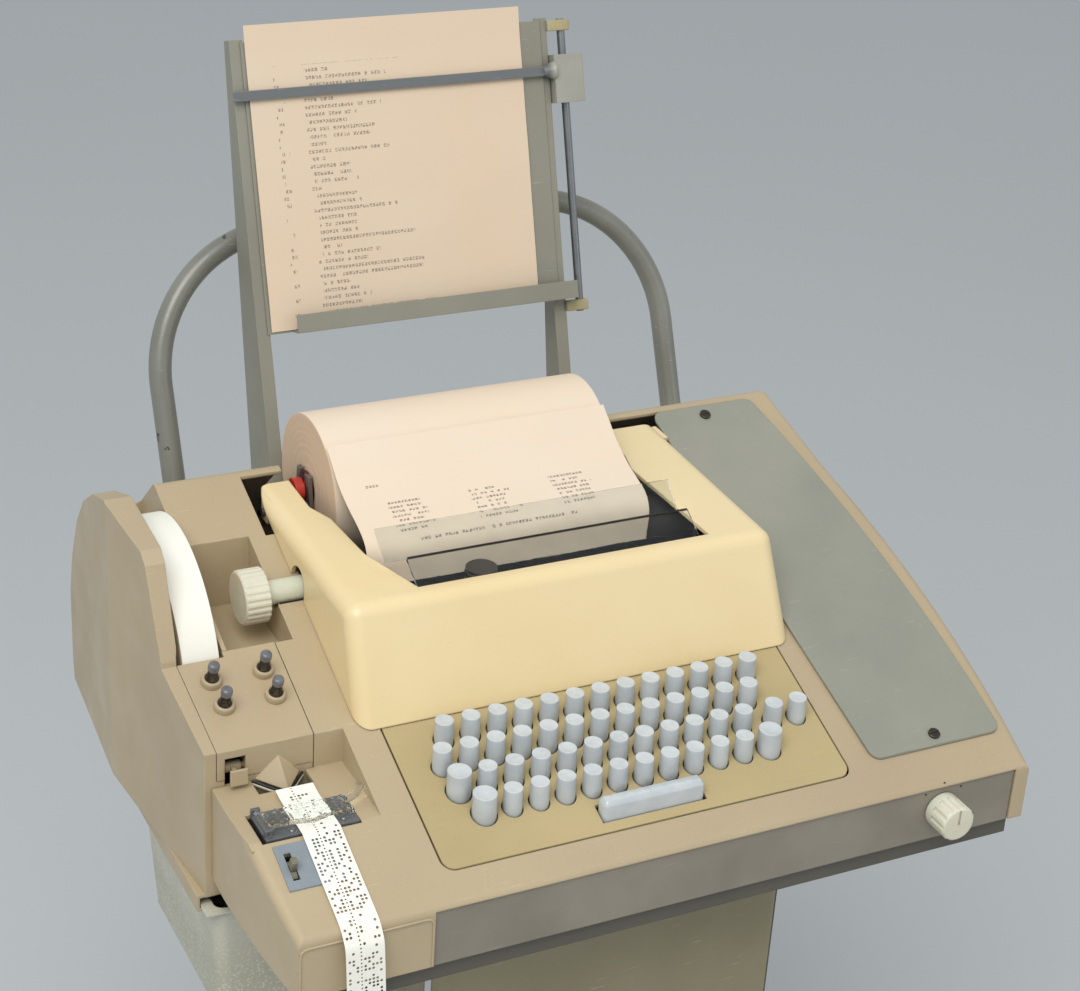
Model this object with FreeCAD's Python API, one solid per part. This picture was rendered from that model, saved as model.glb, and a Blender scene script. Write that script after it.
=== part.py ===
"""Teleprinter on its pedestal stand: keyboard, page printer, tape punch, tape reader and copy holder.

Millimetres. +Z is up, the keyboard faces -Y, +X is to the operator's right.
The origin is on the floor, under the middle of the cabinet.
"""
import FreeCAD
import Part
import math
import os

os.makedirs("parts", exist_ok=True)
V = FreeCAD.Vector

# Driving dimensions
FLOOR_TO_KEYTOPS = 743.0
KEY_PITCH = 19.05
DECK_SLOPE = math.radians(21.0)
FRONT_Y = -235.0
REAR_Y = 235.0
COVER_BOTTOM = 640.0
WALL = 3.0
COVER_FRONT_HALF = 269.5
COVER_MID_HALF = 277.0
COVER_REAR_HALF = 240.0
TOP_EDGE_Y = 119.0
LIP_TOP_Y = -232.0
LIP_TOP_Z = 684.5
REAR_WALL_Z = 712.0
PAN_BOTTOM = 625.0
PAPER_WIDTH = 215.9
TAPE_WIDTH = 25.4
TAPE_PITCH = 2.54
PAPER_LEFT = -136.2
PLATEN_Y = 12.6
PLATEN_Z = 779.0
PLATEN_R = 21.0
ROLL_Y = 101.0
ROLL_Z = 806.0
ROLL_R = 54.0
TAPE_ROLL_Y = 57.0
TAPE_ROLL_Z = 728.0
TAPE_ROLL_R = 90.0
TAPE_ROLL_X = -272.0
HOLDER_LEAN = 17.0
HOLDER_X = 11.0
HOLDER_Y = 224.3
HOLDER_Z = 995.4
HOOP_LEAN = 22.6
FIT = 0.05
# Edges shorter than this share of the rounding's radius stay sharp
SHORTEST_ROUNDED = 0.4
# Moves every node so that the origin is under the middle of the whole outline
PLACE = V(9.0, -11.74, 0.0)


def box(x0, x1, y0, y1, z0, z1):
    """A block between two corners."""
    return Part.makeBox(x1 - x0, y1 - y0, z1 - z0, V(x0, y0, z0))


def rod_x(x0, x1, y, z, r):
    """A round bar along X."""
    return Part.makeCylinder(r, x1 - x0, V(x0, y, z), V(1, 0, 0))


def rod_y(x, y0, y1, z, r):
    """A round bar along Y."""
    return Part.makeCylinder(r, y1 - y0, V(x, y0, z), V(0, 1, 0))


def rod_z(x, y, z0, z1, r):
    """An upright round bar."""
    return Part.makeCylinder(r, z1 - z0, V(x, y, z0), V(0, 0, 1))


def face_of(points):
    """A flat face with straight sides."""
    return Part.Face(Part.makePolygon(points + [points[0]]))


def prism_x(points, x0, x1):
    """A (y, z) outline pushed along X."""
    return face_of([V(x0, y, z) for y, z in points]).extrude(V(x1 - x0, 0, 0))


def prism_y(points, y0, y1):
    """An (x, z) outline pushed along Y."""
    return face_of([V(x, y0, z) for x, z in points]).extrude(V(0, y1 - y0, 0))


def prism_z(points, z0, z1):
    """An (x, y) outline pushed up Z."""
    return face_of([V(x, y, z0) for x, y in points]).extrude(V(0, 0, z1 - z0))


def fuse(*shapes):
    """One solid from touching solids."""
    return shapes[0].multiFuse(list(shapes[1:])).removeSplitter()


def group(*shapes):
    """Separate solids that share one node."""
    return Part.makeCompound(list(shapes))


def soften(shape, radius, keep):
    """Rounds the edges that keep(midpoint, direction) picks."""
    chosen = []
    for edge in shape.Edges:
        ends = edge.Vertexes
        if len(ends) < 2:
            continue
        mid = edge.valueAt((edge.FirstParameter + edge.LastParameter) / 2)
        run = ends[1].Point.sub(ends[0].Point)
        if run.Length > SHORTEST_ROUNDED * radius and keep(mid, run.normalize()):
            chosen.append(edge)
    return shape.makeFillet(radius, chosen) if chosen else shape


def save(name, shape):
    """Writes one node."""
    shape = shape.copy()
    shape.translate(PLACE)
    bad = [s for s in shape.Solids if not s.isValid()]
    box_ = shape.optimalBoundingBox(False)
    print(name, len(shape.Solids), "solids", round(shape.Volume / 1000, 1), "cm3",
          [round(v) for v in (box_.XMin, box_.YMin, box_.ZMin, box_.XMax, box_.YMax, box_.ZMax)],
          "BAD" if bad or not shape.Solids else "")
    shape.exportStep("parts/" + name + ".step")


def deck_z(y):
    """Height of the sloping deck at y."""
    return LIP_TOP_Z + math.tan(DECK_SLOPE) * (y - LIP_TOP_Y)


def on_deck(shape, x, y, lift=0.0):
    """Moves a shape drawn flat about the origin onto the deck at x, y."""
    turned = shape.copy()
    turned.rotate(V(0, 0, 0), V(1, 0, 0), math.degrees(DECK_SLOPE))
    normal = V(0, -math.sin(DECK_SLOPE), math.cos(DECK_SLOPE))
    turned.translate(V(x, y, deck_z(y)).add(normal.multiply(lift)))
    return turned


def deck_layer(x0, x1, y0, y1, top, bottom):
    """A sloping slab between two depths measured straight down from the deck."""
    outline = [(y0, deck_z(y0) + bottom), (y1, deck_z(y1) + bottom),
               (y1, deck_z(y1) + top), (y0, deck_z(y0) + top)]
    return prism_x(outline, x0, x1)


# Main cover: one moulded shell whose sides bow out and draw in towards the back
def cover_plan(inset, z0, z1):
    """The cover's plan outline with bowed sides, as a tall block."""
    front = V(COVER_FRONT_HALF - inset, FRONT_Y + inset, z0)
    mid = V(COVER_MID_HALF - inset, -108.0, z0)
    waist = V(262.0 - inset, 40.0, z0)
    rear = V(COVER_REAR_HALF - inset, REAR_Y - inset, z0)
    flip = lambda p: V(-p.x, p.y, p.z)
    sides = [Part.LineSegment(flip(front), front).toShape(),
             Part.Arc(front, mid, waist).toShape(),
             Part.LineSegment(waist, rear).toShape(),
             Part.LineSegment(rear, flip(rear)).toShape(),
             Part.LineSegment(flip(rear), flip(waist)).toShape(),
             Part.Arc(flip(waist), flip(mid), flip(front)).toShape()]
    return Part.Face(Part.Wire(sides)).extrude(V(0, 0, z1 - z0))


def cover_profile(inset, bottom):
    """The cover's side outline as a block across the machine."""
    drop = inset / math.cos(DECK_SLOPE)
    y_front = FRONT_Y + inset
    y_rear = REAR_Y - inset
    outline = [(y_front, bottom), (y_rear, bottom), (y_rear, REAR_WALL_Z - inset * 0.4),
               (TOP_EDGE_Y - inset * 0.6, deck_z(TOP_EDGE_Y) - drop),
               (y_front, deck_z(y_front) - drop)]
    return prism_x(outline, -300, 300)


def cover_body(inset, bottom):
    """The cover's outer form, or its hollow."""
    return cover_profile(inset, bottom).common(cover_plan(inset, bottom, 900))


def is_upper_edge(mid, run):
    """Picks every edge around the sloping top, and the ridge at its back."""
    return mid.z > 683 and abs(run.z) < 0.95


outer = soften(cover_body(0, COVER_BOTTOM), 6.0, is_upper_edge)
main_cover = outer.cut(cover_body(WALL, COVER_BOTTOM - 1))

# Openings and wells in the main cover
HOOD_X0, HOOD_X1 = -181.0, 152.5
PLATE_X0, PLATE_X1, PLATE_Y0, PLATE_Y1 = -164.5, 137.5, -213.0, -92.0
PUNCH_SIDE = -207.5
BAY_FRONT, BAY_REAR = -99.0, -25.0
main_cover = main_cover.cut(box(HOOD_X0 + 9, HOOD_X1 - 9, -98, 112, 600, 900))
main_cover = main_cover.cut(box(PAPER_LEFT - 16, PAPER_LEFT + PAPER_WIDTH + 22, 30, 157, 700, 900))
plate_opening = soften(box(PLATE_X0, PLATE_X1, PLATE_Y0, PLATE_Y1, 600, 800), 9.3,
                       lambda m, d: abs(d.z) > 0.99 and m.y < -200)
main_cover = main_cover.cut(plate_opening.common(deck_layer(-170, 140, -230, -80, 12, -30)))

# The left end belongs to the punch: its lid, its tape well and the reader's recess
main_cover = main_cover.cut(box(-320, PUNCH_SIDE, BAY_FRONT, BAY_REAR, 600, 900))
main_cover = main_cover.cut(box(-320, -244, BAY_REAR - 1, 150, 600, 900))
bay_wall = fuse(box(-244, -241, BAY_REAR, 153, COVER_BOTTOM, 900),
                box(-260, -241, 150, 153, COVER_BOTTOM, 900))
main_cover = fuse(main_cover, bay_wall.common(cover_body(0.5, COVER_BOTTOM)))
main_cover = main_cover.cut(box(HOOD_X0 - 2, HOOD_X0 + 50, 60, 113, 700, 900))
main_cover = main_cover.cut(box(HOOD_X1 - 60, HOOD_X1 + 2, 60, 113, 700, 900))
RECESS_X1 = -188.0
RECESS_FLOOR = 710.0
RECESS_FRONT = LIP_TOP_Y + (RECESS_FLOOR - LIP_TOP_Z) / math.tan(DECK_SLOPE)
recess = box(-320, RECESS_X1, RECESS_FRONT, BAY_FRONT + 0.1, RECESS_FLOOR, 900)
recess_tub = box(-320, RECESS_X1 + WALL, RECESS_FRONT - 4, BAY_FRONT, RECESS_FLOOR - WALL, 790)
recess_tub = recess_tub.common(cover_body(0.5, COVER_BOTTOM))
main_cover = fuse(main_cover, recess_tub).cut(recess)
recess_back = box(PUNCH_SIDE, RECESS_X1 + WALL, BAY_FRONT, BAY_FRONT + WALL, RECESS_FLOOR - WALL, 790)
main_cover = fuse(main_cover, recess_back.common(cover_body(0.5, COVER_BOTTOM)))
main_cover = main_cover.cut(box(-251, -213.5, -115.5, BAY_FRONT + 0.1, 700, 712))
READER_X0, READER_X1, READER_Y0, READER_Y1 = -267.5, -201.5, -167.0, -135.0
main_cover = main_cover.cut(box(READER_X0, READER_X1, READER_Y0, READER_Y1, 690, 720))
SLOT_X0, SLOT_X1, SLOT_Y0, SLOT_Y1 = -261.0, -250.0, -197.0, -176.0
main_cover = main_cover.cut(box(SLOT_X0, SLOT_X1, SLOT_Y0, SLOT_Y1, 680, 720))

# Knob well between the tape roll and the hood
WELL_X0, WELL_X1, WELL_Y0, WELL_Y1, WELL_FLOOR = -241.0, -195.0, -25.0, 62.0, 746.0
well_tub = box(WELL_X0 - WALL, WELL_X1 + WALL, WELL_Y0 + 0.5, WELL_Y1 + WALL, WELL_FLOOR - WALL, 850)
well_tub = well_tub.common(cover_body(0.5, COVER_BOTTOM))
main_cover = fuse(main_cover, well_tub)
main_cover = main_cover.cut(box(WELL_X0, WELL_X1, WELL_Y0 - 1, WELL_Y1, WELL_FLOOR, 900))
shaft_slot = fuse(box(WELL_X1 - 5, HOOD_X0 + 12, PLATEN_Y - 11, PLATEN_Y + 11, PLATEN_Z, 900),
                  rod_x(WELL_X1 - 5, HOOD_X0 + 12, PLATEN_Y, PLATEN_Z, 11))
main_cover = main_cover.cut(shaft_slot)

# Right end: a wide hole under the control unit's lid
LID_Y0, LID_Y1 = -207.0, 110.0
main_cover = main_cover.cut(deck_layer(170, 222, LID_Y0 + 16, LID_Y1 - 22, 12, -12))
FASCIA_X0, FASCIA_X1 = -179.5, 258.5
main_cover = main_cover.cut(box(FASCIA_X0, FASCIA_X1, FRONT_Y - 1, FRONT_Y + 4, COVER_BOTTOM - 1, 681))

# Front fascia, a flat metal strip with the control knob's hole
KNOB_X, KNOB_Z = 198.8, 663.0
fascia = box(FASCIA_X0 + 0.5, FASCIA_X1 - 0.5, FRONT_Y + 1.5, FRONT_Y + 3, COVER_BOTTOM + 0.5, 680.5)
fascia = fuse(fascia, box(FASCIA_X0 + 0.5, FASCIA_X1 - 0.5, FRONT_Y + 1.5, FRONT_Y + 12, 639.5, 641))
fascia = fascia.cut(rod_y(KNOB_X, FRONT_Y - 5, FRONT_Y + 20, KNOB_Z, 4.0 + FIT))
save("front_fascia", fascia)

knob = rod_y(KNOB_X, FRONT_Y - 18.5, FRONT_Y + 1.0, KNOB_Z, 13.0)
knob = fuse(knob, Part.makeCone(11.5, 13.0, 1.5, V(KNOB_X, FRONT_Y - 20, KNOB_Z), V(0, 1, 0)))
grips = [rod_y(KNOB_X + 14.2 * math.cos(a), FRONT_Y - 21, FRONT_Y - 5,
               KNOB_Z + 14.2 * math.sin(a), 2.2) for a in [math.radians(30 * i) for i in range(12)]]
knob = knob.cut(group(*grips))
knob = fuse(knob, rod_y(KNOB_X, FRONT_Y + 0.5, FRONT_Y + 22, KNOB_Z, 4.0))
knob = knob.cut(box(KNOB_X - 0.8, KNOB_X + 0.8, FRONT_Y - 22, FRONT_Y - 19, KNOB_Z, KNOB_Z + 11))
save("mode_knob", knob)

switch_body = box(KNOB_X - 16, KNOB_X + 16, FRONT_Y + 12.2, FRONT_Y + 34, KNOB_Z - 16, KNOB_Z + 14)
switch_body = switch_body.cut(rod_y(KNOB_X, FRONT_Y + 10, FRONT_Y + 24, KNOB_Z, 4.0 + FIT))
switch_body = fuse(switch_body, box(KNOB_X - 14, KNOB_X + 14, FRONT_Y + 34, FRONT_Y + 36,
                                    KNOB_Z - 20, KNOB_Z - 10))

# Lid of the control unit on the right
lid_rear_left = V(145.5, LID_Y1, 600)
lid_front_left = V(157.0, LID_Y0, 600)
lid_edges = [Part.LineSegment(lid_rear_left, lid_front_left).toShape(),
             Part.LineSegment(lid_front_left, V(263.0, LID_Y0, 600)).toShape(),
             Part.Arc(V(263.0, LID_Y0, 600), V(262.0, -106, 600), V(232.0, LID_Y1, 600)).toShape(),
             Part.LineSegment(V(232.0, LID_Y1, 600), lid_rear_left).toShape()]
lid_block = Part.Face(Part.Wire(lid_edges)).extrude(V(0, 0, 400))
lid_block = soften(lid_block, 8.0, lambda m, d: abs(d.z) > 0.99)
control_lid = lid_block.common(deck_layer(130, 280, -230, 130, 2.6, 0.4))
LID_SCREWS = [(187.6, 101.0), (210.8, -198.5)]
for x, y in LID_SCREWS:
    control_lid = control_lid.cut(on_deck(rod_z(0, 0, -6, 8, 2.2), x, y))
    main_cover = main_cover.cut(on_deck(rod_z(0, 0, -6, 4, 2.2), x, y))
save("control_lid", control_lid)


def pan_head_screw():
    """A slotted screw whose seat is at height 0."""
    head = rod_z(0, 0, 0, 1.8, 4.2).cut(box(-5, 5, -0.5, 0.5, 1.0, 3))
    return fuse(head, rod_z(0, 0, -9, 0, 2.2))


REAR_SLOPE = math.atan2(deck_z(TOP_EDGE_Y) - REAR_WALL_Z, REAR_Y - TOP_EDGE_Y)


def on_rear(shape, x, y, lift=0.0):
    """Moves a shape drawn flat about the origin onto the cover's rear slope at x, y."""
    turned = shape.copy()
    turned.rotate(V(0, 0, 0), V(1, 0, 0), -math.degrees(REAR_SLOPE))
    height = deck_z(TOP_EDGE_Y) - math.tan(REAR_SLOPE) * (y - TOP_EDGE_Y)
    normal = V(0, math.sin(REAR_SLOPE), math.cos(REAR_SLOPE))
    turned.translate(V(x, y, height).add(normal.multiply(lift)))
    return turned


# Feet of the copy holder and of the hoop stand on the rear slope
FOOT_T = 2.0
HOLDER_FEET = [(HOLDER_X + x, y) for x in (-146.5, 91.0) for y in (178.0, 204.0)]
HOOP_X0, HOOP_X1, HOOP_Y, HOOP_Z = -200.3, 222.1, 199.0, 745.0
HOOP_FEET = [(x + side * 15.0, HOOP_Y) for x in (HOOP_X0, HOOP_X1) for side in (-1, 1)]
screws = [on_deck(pan_head_screw(), x, y, 2.43) for x, y in LID_SCREWS]
for x, y in HOLDER_FEET + HOOP_FEET:
    screws.append(on_rear(pan_head_screw(), x, y, FOOT_T))
    main_cover = main_cover.cut(on_rear(rod_z(0, 0, -9, 4, 2.2), x, y))
save("cover_screws", group(*screws))
save("main_cover", main_cover)

# Keyboard
KEY_X0, KEY_Y0 = -136.5, -123.0
KEY_R, WIDE_KEY_R = 6.25, 8.0
KEY_STEP_Z = math.tan(DECK_SLOPE) * KEY_PITCH
KEY_TRAVEL = 4.5
ROW_KEYS = [[(0.5 + i, KEY_R) for i in range(13)],
            [(0.0 + i, KEY_R) for i in range(13)],
            [(0.2, WIDE_KEY_R)] + [(1.25 + i, KEY_R) for i in range(11)] + [(12.5, KEY_R), (13.5, KEY_R)],
            [(0.7, WIDE_KEY_R)] + [(1.75 + i, KEY_R) for i in range(10)] + [(11.8, WIDE_KEY_R)]]
BAR_X0, BAR_X1, BAR_Y0, BAR_Y1, BAR_TOP = -48.5, 26.5, -204.0, -192.5, 709.0

plate_plan = box(PLATE_X0 + 1.3, PLATE_X1 - 1.3, PLATE_Y0 + 1.3, PLATE_Y1 - 1.3, 640, 800)
plate_plan = soften(plate_plan, 8.0, lambda m, d: abs(d.z) > 0.99 and m.y < -200)
plate = plate_plan.common(deck_layer(-170, 140, -230, -80, 0.0, -2.0))
plate_rim = plate_plan.common(deck_layer(-170, 140, -230, -80, -2.0, -9.0))
inside = box(PLATE_X0 + 3.3, PLATE_X1 - 3.3, PLATE_Y0 + 3.3, PLATE_Y1 - 3.3, 640, 800)
plate = fuse(plate, plate_rim.cut(inside))
holes = [box(BAR_X0 - 1, BAR_X1 + 1, BAR_Y0 - 1, BAR_Y1 + 1, 600, 800)]
guides = []
LEVER_Z = 668.0
for row, keys in enumerate(ROW_KEYS):
    row_y = KEY_Y0 - KEY_PITCH * row
    top = FLOOR_TO_KEYTOPS - KEY_STEP_Z * row
    solids = []
    for column, radius in keys:
        x = KEY_X0 + KEY_PITCH * column
        cap = Part.makeCone(radius + 0.35, radius, 22, V(x, row_y, top - 22), V(0, 0, 1))
        dish = Part.makeSphere(26, V(x, row_y - 2.0, top + 24.6))
        cap = cap.cut(dish)
        solids.append(fuse(cap, rod_z(x, row_y, LEVER_Z + KEY_TRAVEL + 1, top - 20, 2.0)))
        holes.append(rod_z(x, row_y, 600, 800, radius + 1.0))
        guides.append(rod_z(x, row_y, 600, 800, 2.0 + FIT))
    save("key_row_%d" % (row + 1), group(*solids))
plate = plate.cut(group(*holes))
save("keyboard_plate", plate)

bar = box(BAR_X0, BAR_X1, BAR_Y0, BAR_Y1, BAR_TOP - 16, BAR_TOP)
bar = soften(bar, 2.2, lambda m, d: m.z > BAR_TOP - 15)
bar_posts = [rod_z(x, (BAR_Y0 + BAR_Y1) / 2, LEVER_Z + KEY_TRAVEL + 1, BAR_TOP - 14, 2.0)
             for x in (BAR_X0 + 12, BAR_X1 - 12)]
guides += [rod_z(x, (BAR_Y0 + BAR_Y1) / 2, 600, 800, 2.0 + FIT) for x in (BAR_X0 + 12, BAR_X1 - 12)]
save("space_bar", fuse(bar, *bar_posts))

# Key guide: a sloping sheet on four posts that keeps the stems upright
GUIDE_X0, GUIDE_X1, GUIDE_Y0, GUIDE_Y1 = -152.0, 130.0, -207.0, -112.0
guide = deck_layer(GUIDE_X0, GUIDE_X1, GUIDE_Y0, GUIDE_Y1, -21.0, -24.0)
lower = box(GUIDE_X0, GUIDE_X1, GUIDE_Y0, GUIDE_Y1, 650, 652)
posts = [box(x, x + 4, GUIDE_Y0 + 0.2, GUIDE_Y1 - 0.2, 651, 700).cut(
    deck_layer(-300, 300, GUIDE_Y0 - 5, GUIDE_Y1 + 5, 60, -22.5)) for x in (GUIDE_X0, GUIDE_X1 - 4)]
guide = fuse(guide, lower, *posts).cut(group(*guides))
save("key_guide", guide)

# Base pan and the stand under it
pan = box(-262, 262, -229, 229, PAN_BOTTOM, PAN_BOTTOM + 13)
pan = pan.common(cover_plan(6.0, 600, 900)).cut(box(-260, 260, -227, 227, PAN_BOTTOM + 2, 700).common(
    cover_plan(8.0, 600, 900)))
BAY_X1 = -205.0
BIN_Y0, BIN_Y1 = -98.0, 52.0
RAIL_Z0, RAIL_Z1 = 616.0, 618.0
pan = pan.cut(box(-320, BAY_X1, -98.4, 240, 600, 700))
pan = fuse(pan, box(-164, -162, BIN_Y0, BIN_Y1, RAIL_Z0, PAN_BOTTOM + 1), box(-168.5, -162, BIN_Y0, BIN_Y1,
                                                                             RAIL_Z0, RAIL_Z1))
save("base_pan", pan)
PED_X0, PED_X1, PED_Y0, PED_Y1 = -141.5, 141.5, -143.0, 120.0
pedestal = box(PED_X0, PED_X1, PED_Y0, PED_Y1, 40, PAN_BOTTOM)
pedestal = soften(pedestal, 10.0, lambda m, d: abs(d.z) > 0.99)
pedestal = pedestal.cut(box(PED_X0 + 1.5, PED_X1 - 1.5, PED_Y0 + 1.5, PED_Y1 - 1.5, 41.5, PAN_BOTTOM - 1.5))
pedestal = pedestal.cut(box(-90, 90, PED_Y1 - 5, PED_Y1 + 5, 120, 560))
save("pedestal", pedestal)
feet = []
for x0 in (-152.0, 112.0):
    foot = prism_x([(-200, 0), (-165, 0), (-160, 8), (160, 8), (165, 0), (200, 0), (200, 20), (150, 40),
                    (-170, 40), (-200, 20)], x0, x0 + 40)
    feet.append(foot)
save("stand_feet", group(*feet))

# Hood over the printer: it tips up about two pins at the back of its arms
HOOD_FRONT, HOOD_BACK = -106.0, 101.0
HOOD_TOP_FRONT, HOOD_TOP_BACK = 808.0, 814.5
HOOD_PIN_Y, HOOD_PIN_Z = 93.0, 797.0


def hood_block(inset):
    """The hood's form carried down below the deck."""
    slant = 31.5 / (HOOD_TOP_FRONT - deck_z(HOOD_FRONT))
    foot = HOOD_FRONT - (deck_z(HOOD_FRONT) - 690) * slant
    side = [(foot + inset, 690), (HOOD_FRONT + 31.5 + inset, HOOD_TOP_FRONT - inset),
            (HOOD_BACK - inset, HOOD_TOP_BACK - inset), (HOOD_BACK - inset, 690)]
    ends = [(HOOD_X0 + inset, 690), (HOOD_X1 - inset, 690),
            (HOOD_X1 - 9 - inset, 820), (HOOD_X0 + 5 + inset, 820)]
    return prism_x(side, -300, 300).common(prism_y(ends, -200, 200))


hood_outer = soften(hood_block(0), 11.0, lambda m, d: m.z > 745 and m.y < 100)
hood_outer = hood_outer.cut(deck_layer(-300, 300, -200, 200, 0.6, -200))
hood_shell = hood_outer.cut(soften(hood_block(WALL), 8.0, lambda m, d: m.z > 745 and m.y < 97))
hood_window_gap = prism_z([(-122, -63), (98.5, -63), (92, 40), (97, 60), (97, 130), (-151, 130), (-151, 60),
                           (-143, 40), (-139, -12)], 700, 900)
hood = hood_shell.cut(hood_window_gap)
hood = hood.cut(fuse(rod_x(HOOD_X0 - 5, HOOD_X0 + 20, PLATEN_Y, PLATEN_Z + 3, 12.5),
                     box(HOOD_X0 - 5, HOOD_X0 + 20, PLATEN_Y - 12.5, PLATEN_Y + 12.5, 700, PLATEN_Z + 3)))
ears = []
for x0, x1 in ((-172.0, -168.0), (140.0, 144.0)):
    ear = prism_x([(HOOD_PIN_Y - 14, 812), (HOOD_BACK - 2, 812.5), (HOOD_BACK - 2, 790),
                   (HOOD_PIN_Y - 6, 790)], x0, x1)
    ears.append(ear.cut(rod_x(x0 - 1, x1 + 1, HOOD_PIN_Y, HOOD_PIN_Z, 3.0 + FIT)))
hood = fuse(hood, *ears)
save("printer_hood", hood)

WINDOW_LOW = (-62.9, 806.6)
WINDOW_HIGH = (-42.0, 819.0)
window = prism_x([WINDOW_LOW, (WINDOW_LOW[0] + 0.9, WINDOW_LOW[1] - 1.9),
                  (WINDOW_HIGH[0] + 0.9, WINDOW_HIGH[1] - 1.9), WINDOW_HIGH], -121.5, 92)
window = fuse(window, box(-121.5, 92, -70, -61.5, 803.0, 806.8)).cut(hood)
save("hood_window", max(window.Solids, key=lambda solid: solid.Volume))

# Printer side frames, tie bars, feet and the hood's hinge pins
FRAME_L, FRAME_R = -160.0, 134.0
FRAME_T = 3.0
SHAFT_Y, SHAFT_Z, SHAFT_R = 25.0, 690.0, 5.0
RAILS = [(-44.0, 712.0), (-66.0, 738.0)]
RAIL_R = 5.0
TIES = [(-85.0, 668.0), (103.0, 668.0), (-22.0, 662.0)]
MOTOR_Y, MOTOR_Z, MOTOR_R = 95.0, 712.0, 33.0
frame_outline = [(-96, 627), (118, 627), (118, 740), (99, 804), (84, 804), (60, 800), (-10, 802),
                 (-62, 794), (-84, 750), (-96, 700)]
SPOOL_Y, SPOOL_LEFT, SPOOL_RIGHT = -64.0, -133.0, 109.0
POST_Y, POST_R = -14.2, 1.2
BAND_X0, BAND_X1 = SPOOL_LEFT - 12.6, SPOOL_RIGHT + 9.6
for name, x0, out, spool_x, band_x in (("left_frame", FRAME_L, -1, SPOOL_LEFT, BAND_X0),
                                       ("right_frame", FRAME_R, 1, SPOOL_RIGHT, BAND_X1)):
    plate_ = prism_x(frame_outline, x0, x0 + FRAME_T)
    outer_x = x0 if out < 0 else x0 + FRAME_T
    inner_x = x0 + FRAME_T if out < 0 else x0
    post_x = band_x - out * (POST_R + 0.4)
    pieces = [box(min(outer_x, outer_x + out * 12), max(outer_x, outer_x + out * 12), -96, 118, 627, 629.5),
              rod_x(min(x0, x0 + out * 14), max(x0, x0 + out * 14) + FRAME_T, HOOD_PIN_Y, HOOD_PIN_Z, 3.0),
              box(min(inner_x, spool_x - out * 8) - 0.5, max(inner_x, spool_x - out * 8) + 0.5, SPOOL_Y - 9,
                  SPOOL_Y + 9, 768, 770),
              rod_z(spool_x, SPOOL_Y, 769, 788, 2.0),
              box(min(inner_x, post_x - out * 2) - 0.5, max(inner_x, post_x - out * 2) + 0.5, -22, POST_Y + 2,
                  765, 767),
              rod_z(post_x, POST_Y, 766, 788, POST_R)]
    plate_ = fuse(plate_, *pieces)
    for y, z, r in [(PLATEN_Y, PLATEN_Z, 6.0), (SHAFT_Y, SHAFT_Z, SHAFT_R)]:
        plate_ = plate_.cut(rod_x(x0 - 1, x0 + FRAME_T + 1, y, z, r + FIT))
    for y, z in RAILS + TIES:
        plate_ = plate_.cut(rod_x(x0 - 1, x0 + FRAME_T + 1, y, z, RAIL_R))
    plate_ = plate_.cut(rod_x(x0 - 1, x0 + FRAME_T + 1, MOTOR_Y, MOTOR_Z, 9.0))
    save(name, plate_)
save("cross_rods", group(*[rod_x(FRAME_L, FRAME_R + FRAME_T, y, z, RAIL_R) for y, z in TIES + RAILS]))

# Platen with its shaft and knob
PLATEN_X0, PLATEN_X1 = -150.0, 128.0
KNOB_END = -218.5
platen = rod_x(PLATEN_X0, PLATEN_X1, PLATEN_Y, PLATEN_Z, PLATEN_R).cut(
    rod_x(PLATEN_X0 - 1, PLATEN_X1 + 1, PLATEN_Y, PLATEN_Z, 6.0))
save("platen_roller", platen)
save("platen_shaft", rod_x(KNOB_END + 4, FRAME_R + FRAME_T + 3, PLATEN_Y, PLATEN_Z, 6.0))
hub = rod_x(KNOB_END, FRAME_L - 0.5, PLATEN_Y, PLATEN_Z, 8.5)
disc = rod_x(KNOB_END, KNOB_END + 16, PLATEN_Y, PLATEN_Z, 19.0)
disc = fuse(disc, Part.makeCone(17.5, 19.0, 1.5, V(KNOB_END - 1.5, PLATEN_Y, PLATEN_Z), V(1, 0, 0)))
flutes = []
for i in range(24):
    angle = math.radians(15 * i)
    flutes.append(rod_x(KNOB_END - 3, KNOB_END + 17, PLATEN_Y + 20.3 * math.cos(angle),
                        PLATEN_Z + 20.3 * math.sin(angle), 2.0))
disc = disc.cut(group(*flutes))
platen_knob = fuse(disc, hub).cut(rod_x(KNOB_END + 4, FRAME_L, PLATEN_Y, PLATEN_Z, 6.0 + FIT))
save("platen_knob", platen_knob)

# Paper roll, its spindle and the cradle plates
PAPER_RIGHT = PAPER_LEFT + PAPER_WIDTH
roll = rod_x(PAPER_LEFT, PAPER_RIGHT, ROLL_Y, ROLL_Z, ROLL_R).cut(
    rod_x(PAPER_LEFT - 1, PAPER_RIGHT + 1, ROLL_Y, ROLL_Z, 12.7))
save("paper_roll", roll)
spindle = fuse(rod_x(PAPER_LEFT - 9, PAPER_RIGHT + 9, ROLL_Y, ROLL_Z, 5.0),
               rod_x(PAPER_LEFT + 0.5, PAPER_LEFT + 12, ROLL_Y, ROLL_Z, 12.7),
               rod_x(PAPER_RIGHT - 12, PAPER_RIGHT - 0.5, ROLL_Y, ROLL_Z, 12.7),
               rod_x(PAPER_LEFT - 12, PAPER_LEFT - 5.5, ROLL_Y, ROLL_Z, 9.0),
               rod_x(PAPER_RIGHT + 5.5, PAPER_RIGHT + 12, ROLL_Y, ROLL_Z, 9.0))
save("roll_spindle", spindle)
cradle = []
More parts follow.
